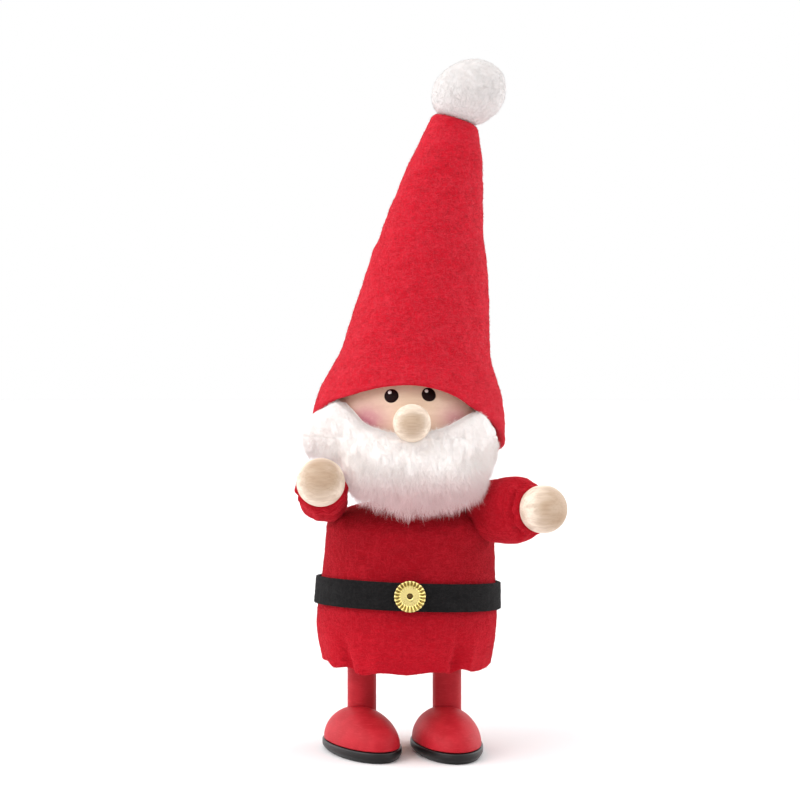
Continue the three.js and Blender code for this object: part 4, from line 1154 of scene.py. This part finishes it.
def fleece_locks(name, count, seed, low, high, length, radius, clumps, sunk=0.0):
    """Locks of fleece: hairs rooted on its outside, drawn together at their tips."""
    rng = np.random.default_rng(seed)
    lead_angle = rng.uniform(-94, 77, clumps)
    lead_share = rng.uniform(low, high, clumps)
    pick = rng.integers(0, clumps, count)
    spread = rng.normal(size=(count, 2))
    angle = np.clip(lead_angle[pick] + spread[:, 0] * 3.0, -95, 77)
    share = np.clip(lead_share[pick] + spread[:, 1] * 0.05, max(0.0, low * 0.6), 1.0)
    turn = np.radians(angle)
    out = np.stack([np.sin(turn), -np.cos(turn), 0 * turn], -1)
    thin = end_thinness(angle)
    depth = 0.12 + 0.72 * thin
    if sunk:
        depth = depth * rng.uniform(1 - sunk, 1, count)
    roots = beard_point(angle, share, depth)
    roots = roots + out * fleece_lumps(roots, share, thin)[:, None]
    flare = unit(rng.normal(size=(clumps, 3)))[pick]
    along = np.stack([np.cos(turn), np.sin(turn), 0 * turn], -1)
    fan = np.sin(turn)[:, None] * along
    down = np.array([0, 0, -1.0])
    edge = smooth(share, 0.55, 1.0)[:, None]
    fall = (1.35 * smooth(share, 0.0, 0.25) - 0.35)[:, None]
    ways = (0.55 - 0.25 * edge) * out + fall * (0.5 + 0.6 * edge) * down + 0.38 * flare
    ways = ways + 0.2 * rng.normal(size=(count, 3)) + 0.18 * fan
    lengths = length * rng.uniform(0.55, 1.25, count) * (0.5 + 0.5 * smooth(share, 0.1, 0.6))
    lengths *= (1 - 0.35 * smooth(-angle, 40, 60)) * (1 - 0.5 * smooth(angle, 45, 62))
    own = roots + unit(ways) * lengths[:, None] + fall * down * (0.30 * lengths)[:, None]
    room = 0.25 + 0.75 * smooth(np.linalg.norm(roots - RAISED_HAND, axis=1), 6.6, 9.6)
    lengths = lengths * room
    own = roots + (own - roots) * room[:, None]
    lead = np.zeros((clumps, 3))
    number = np.bincount(pick, minlength=clumps)[:, None]
    for k in range(3):
        lead[:, k] = np.bincount(pick, own[:, k], clumps)
    lead = lead / np.maximum(number, 1)
    pull = (0.05 + 0.6 * edge) * rng.uniform(0.6, 1.2, (count, 1))
    tips = own + (lead[pick] - own) * pull
    away = np.hypot(tips[:, 0] - HEAD[0], tips[:, 1])
    limit = np.maximum(away, HEAD_CLEARANCE) / np.maximum(away, 1e-6)
    tips[:, 0] = HEAD[0] + (tips[:, 0] - HEAD[0]) * limit
    tips[:, 1] *= limit
    for centre, reach in ((HAND_AT_REST, 6.6), (RAISED_HAND, 6.6), (NOSE, 4.8)):
        tips = push_clear(tips, centre, reach)
    # painted red bounce light and shade on the hairs, growing towards the fleece's lower edge
    painted_bounce_shade = (1 - smooth(tips[:, 2], 59, 71)) * 0.6
    return strands(name, roots, ways, lengths, radius * rng.uniform(0.6, 1.2, count), locks,
                   "white_fleece", "torso", curl=0.35, seed=seed, rings=4, tips=tips, Tinge=painted_bounce_shade)


fleece_locks("fleece_locks_upper", 15000, 101, -0.02, 0.65, 2.0, 0.036, 1500)
fleece_locks("fleece_locks_lower", 15000, 102, 0.45, 1.0, 3.0, 0.042, 900)
fleece_locks("fleece_wisps", 5200, 103, 0.80, 1.0, 3.9, 0.040, 170)
fleece_locks("fleece_edge", 6000, 104, -0.03, 0.03, 2.6, 0.032, 1100, sunk=0.85)

# the cut edge of the hide, a thin beaded rim along the cheeks
across = np.linspace(-70, 62, 420)
edge = fleece_edge(across, BEARD_TOP) + 0.02
above = np.clip(edge - HEAD[2], -19.5, 19.5)
radius = np.sqrt((HEAD_RADIUS + 0.28) ** 2 - above**2)
turn = np.radians(across)
line = np.stack([HEAD[0] + radius * np.sin(turn), -radius * np.cos(turn), edge], -1)
bead = 0.15 + 0.05 * np.sin(across * 3.9 + 0.6 * np.sin(across * 0.9)) + 0.03 * np.sin(across * 9.1)
bead = bead * smooth(abs(abs(across + 4) - 66), 0, 3) + 0.02
normal = unit(line - HEAD)
tangent = unit(np.gradient(line, axis=0))
binormal = np.cross(tangent, normal)
turn = np.linspace(0, 2 * np.pi, 14, endpoint=False)
cos, sin = np.cos(turn)[None, :, None], np.sin(turn)[None, :, None]
rows = line[:, None] + bead[:, None, None] * (
    cos * normal[:, None] * 0.8 + sin * binormal[:, None])
points, quads, tips = skin(rows[:, ::-1], line[0], line[-1])
rim = piece("hide_edge", points, quads, tips, hide, "white_hide", "torso")
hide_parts("beard_backing")

# ---------------------------------------------------------------- studio


def sun(name, power, spread, azimuth, elevation):
    """Soft light from an azimuth and elevation, the same over the whole floor."""
    data = bpy.data.lights.new(name, "SUN")
    data.energy = power
    data.angle = math.radians(spread)
    lamp = bpy.data.objects.new(name, data)
    bpy.context.scene.collection.objects.link(lamp)
    turn, rise = math.radians(azimuth), math.radians(elevation)
    back = Vector((math.sin(turn) * math.cos(rise), -math.cos(turn) * math.cos(rise), math.sin(rise)))
    lamp.rotation_euler = back.to_track_quat("Z", "Y").to_euler()


sun("top", 2.55, 110, -30, 78)
sun("key", 1.65, 60, -66, 30)
sun("right", 1.2, 80, 78, 20)
sun("back", 0.4, 90, 170, 25)
sun("edge_right", 0.9, 50, -118, 14)
sun("edge_left", 0.9, 50, 118, 14)

world = bpy.data.worlds.new("studio")
bpy.context.scene.world = world
world.use_nodes = True
world.node_tree.nodes["Background"].inputs["Color"].default_value = (1, 1, 1, 1)
world.node_tree.nodes["Background"].inputs["Strength"].default_value = 1.0
world.cycles_visibility.diffuse = False

floor_paper = Shader("floor_paper", 0.9, Specular_IOR_Level=0.1)
grain = floor_paper.noise((0.4, 0.4, 0.4), detail=4)
floor_paper.relief(grain, 0.02)
paper = floor_paper.colour(floor_paper.mix(grain, rgb(252, 250, 251), rgb(250, 248, 249)))
mesh = bpy.data.meshes.new("floor")
mesh.from_pydata([(-3, -3, 0), (3, -3, 0), (3, 3, 0), (-3, 3, 0)], [], [(0, 1, 2, 3)])
floor = bpy.data.objects.new("floor", mesh)
bpy.context.scene.collection.objects.link(floor)
mesh.materials.append(paper)

lens = bpy.data.cameras.new("camera")
lens.sensor_width = 36.0
lens.lens = 87.05
camera = bpy.data.objects.new("camera", lens)
bpy.context.scene.collection.objects.link(camera)
camera.location = Vector(place(np.array([-1.7, -480.0, 100.0])))
camera.rotation_euler = (math.radians(88.4), 0, 0)
bpy.context.scene.camera = camera
bpy.context.scene.view_settings.view_transform = "Standard"
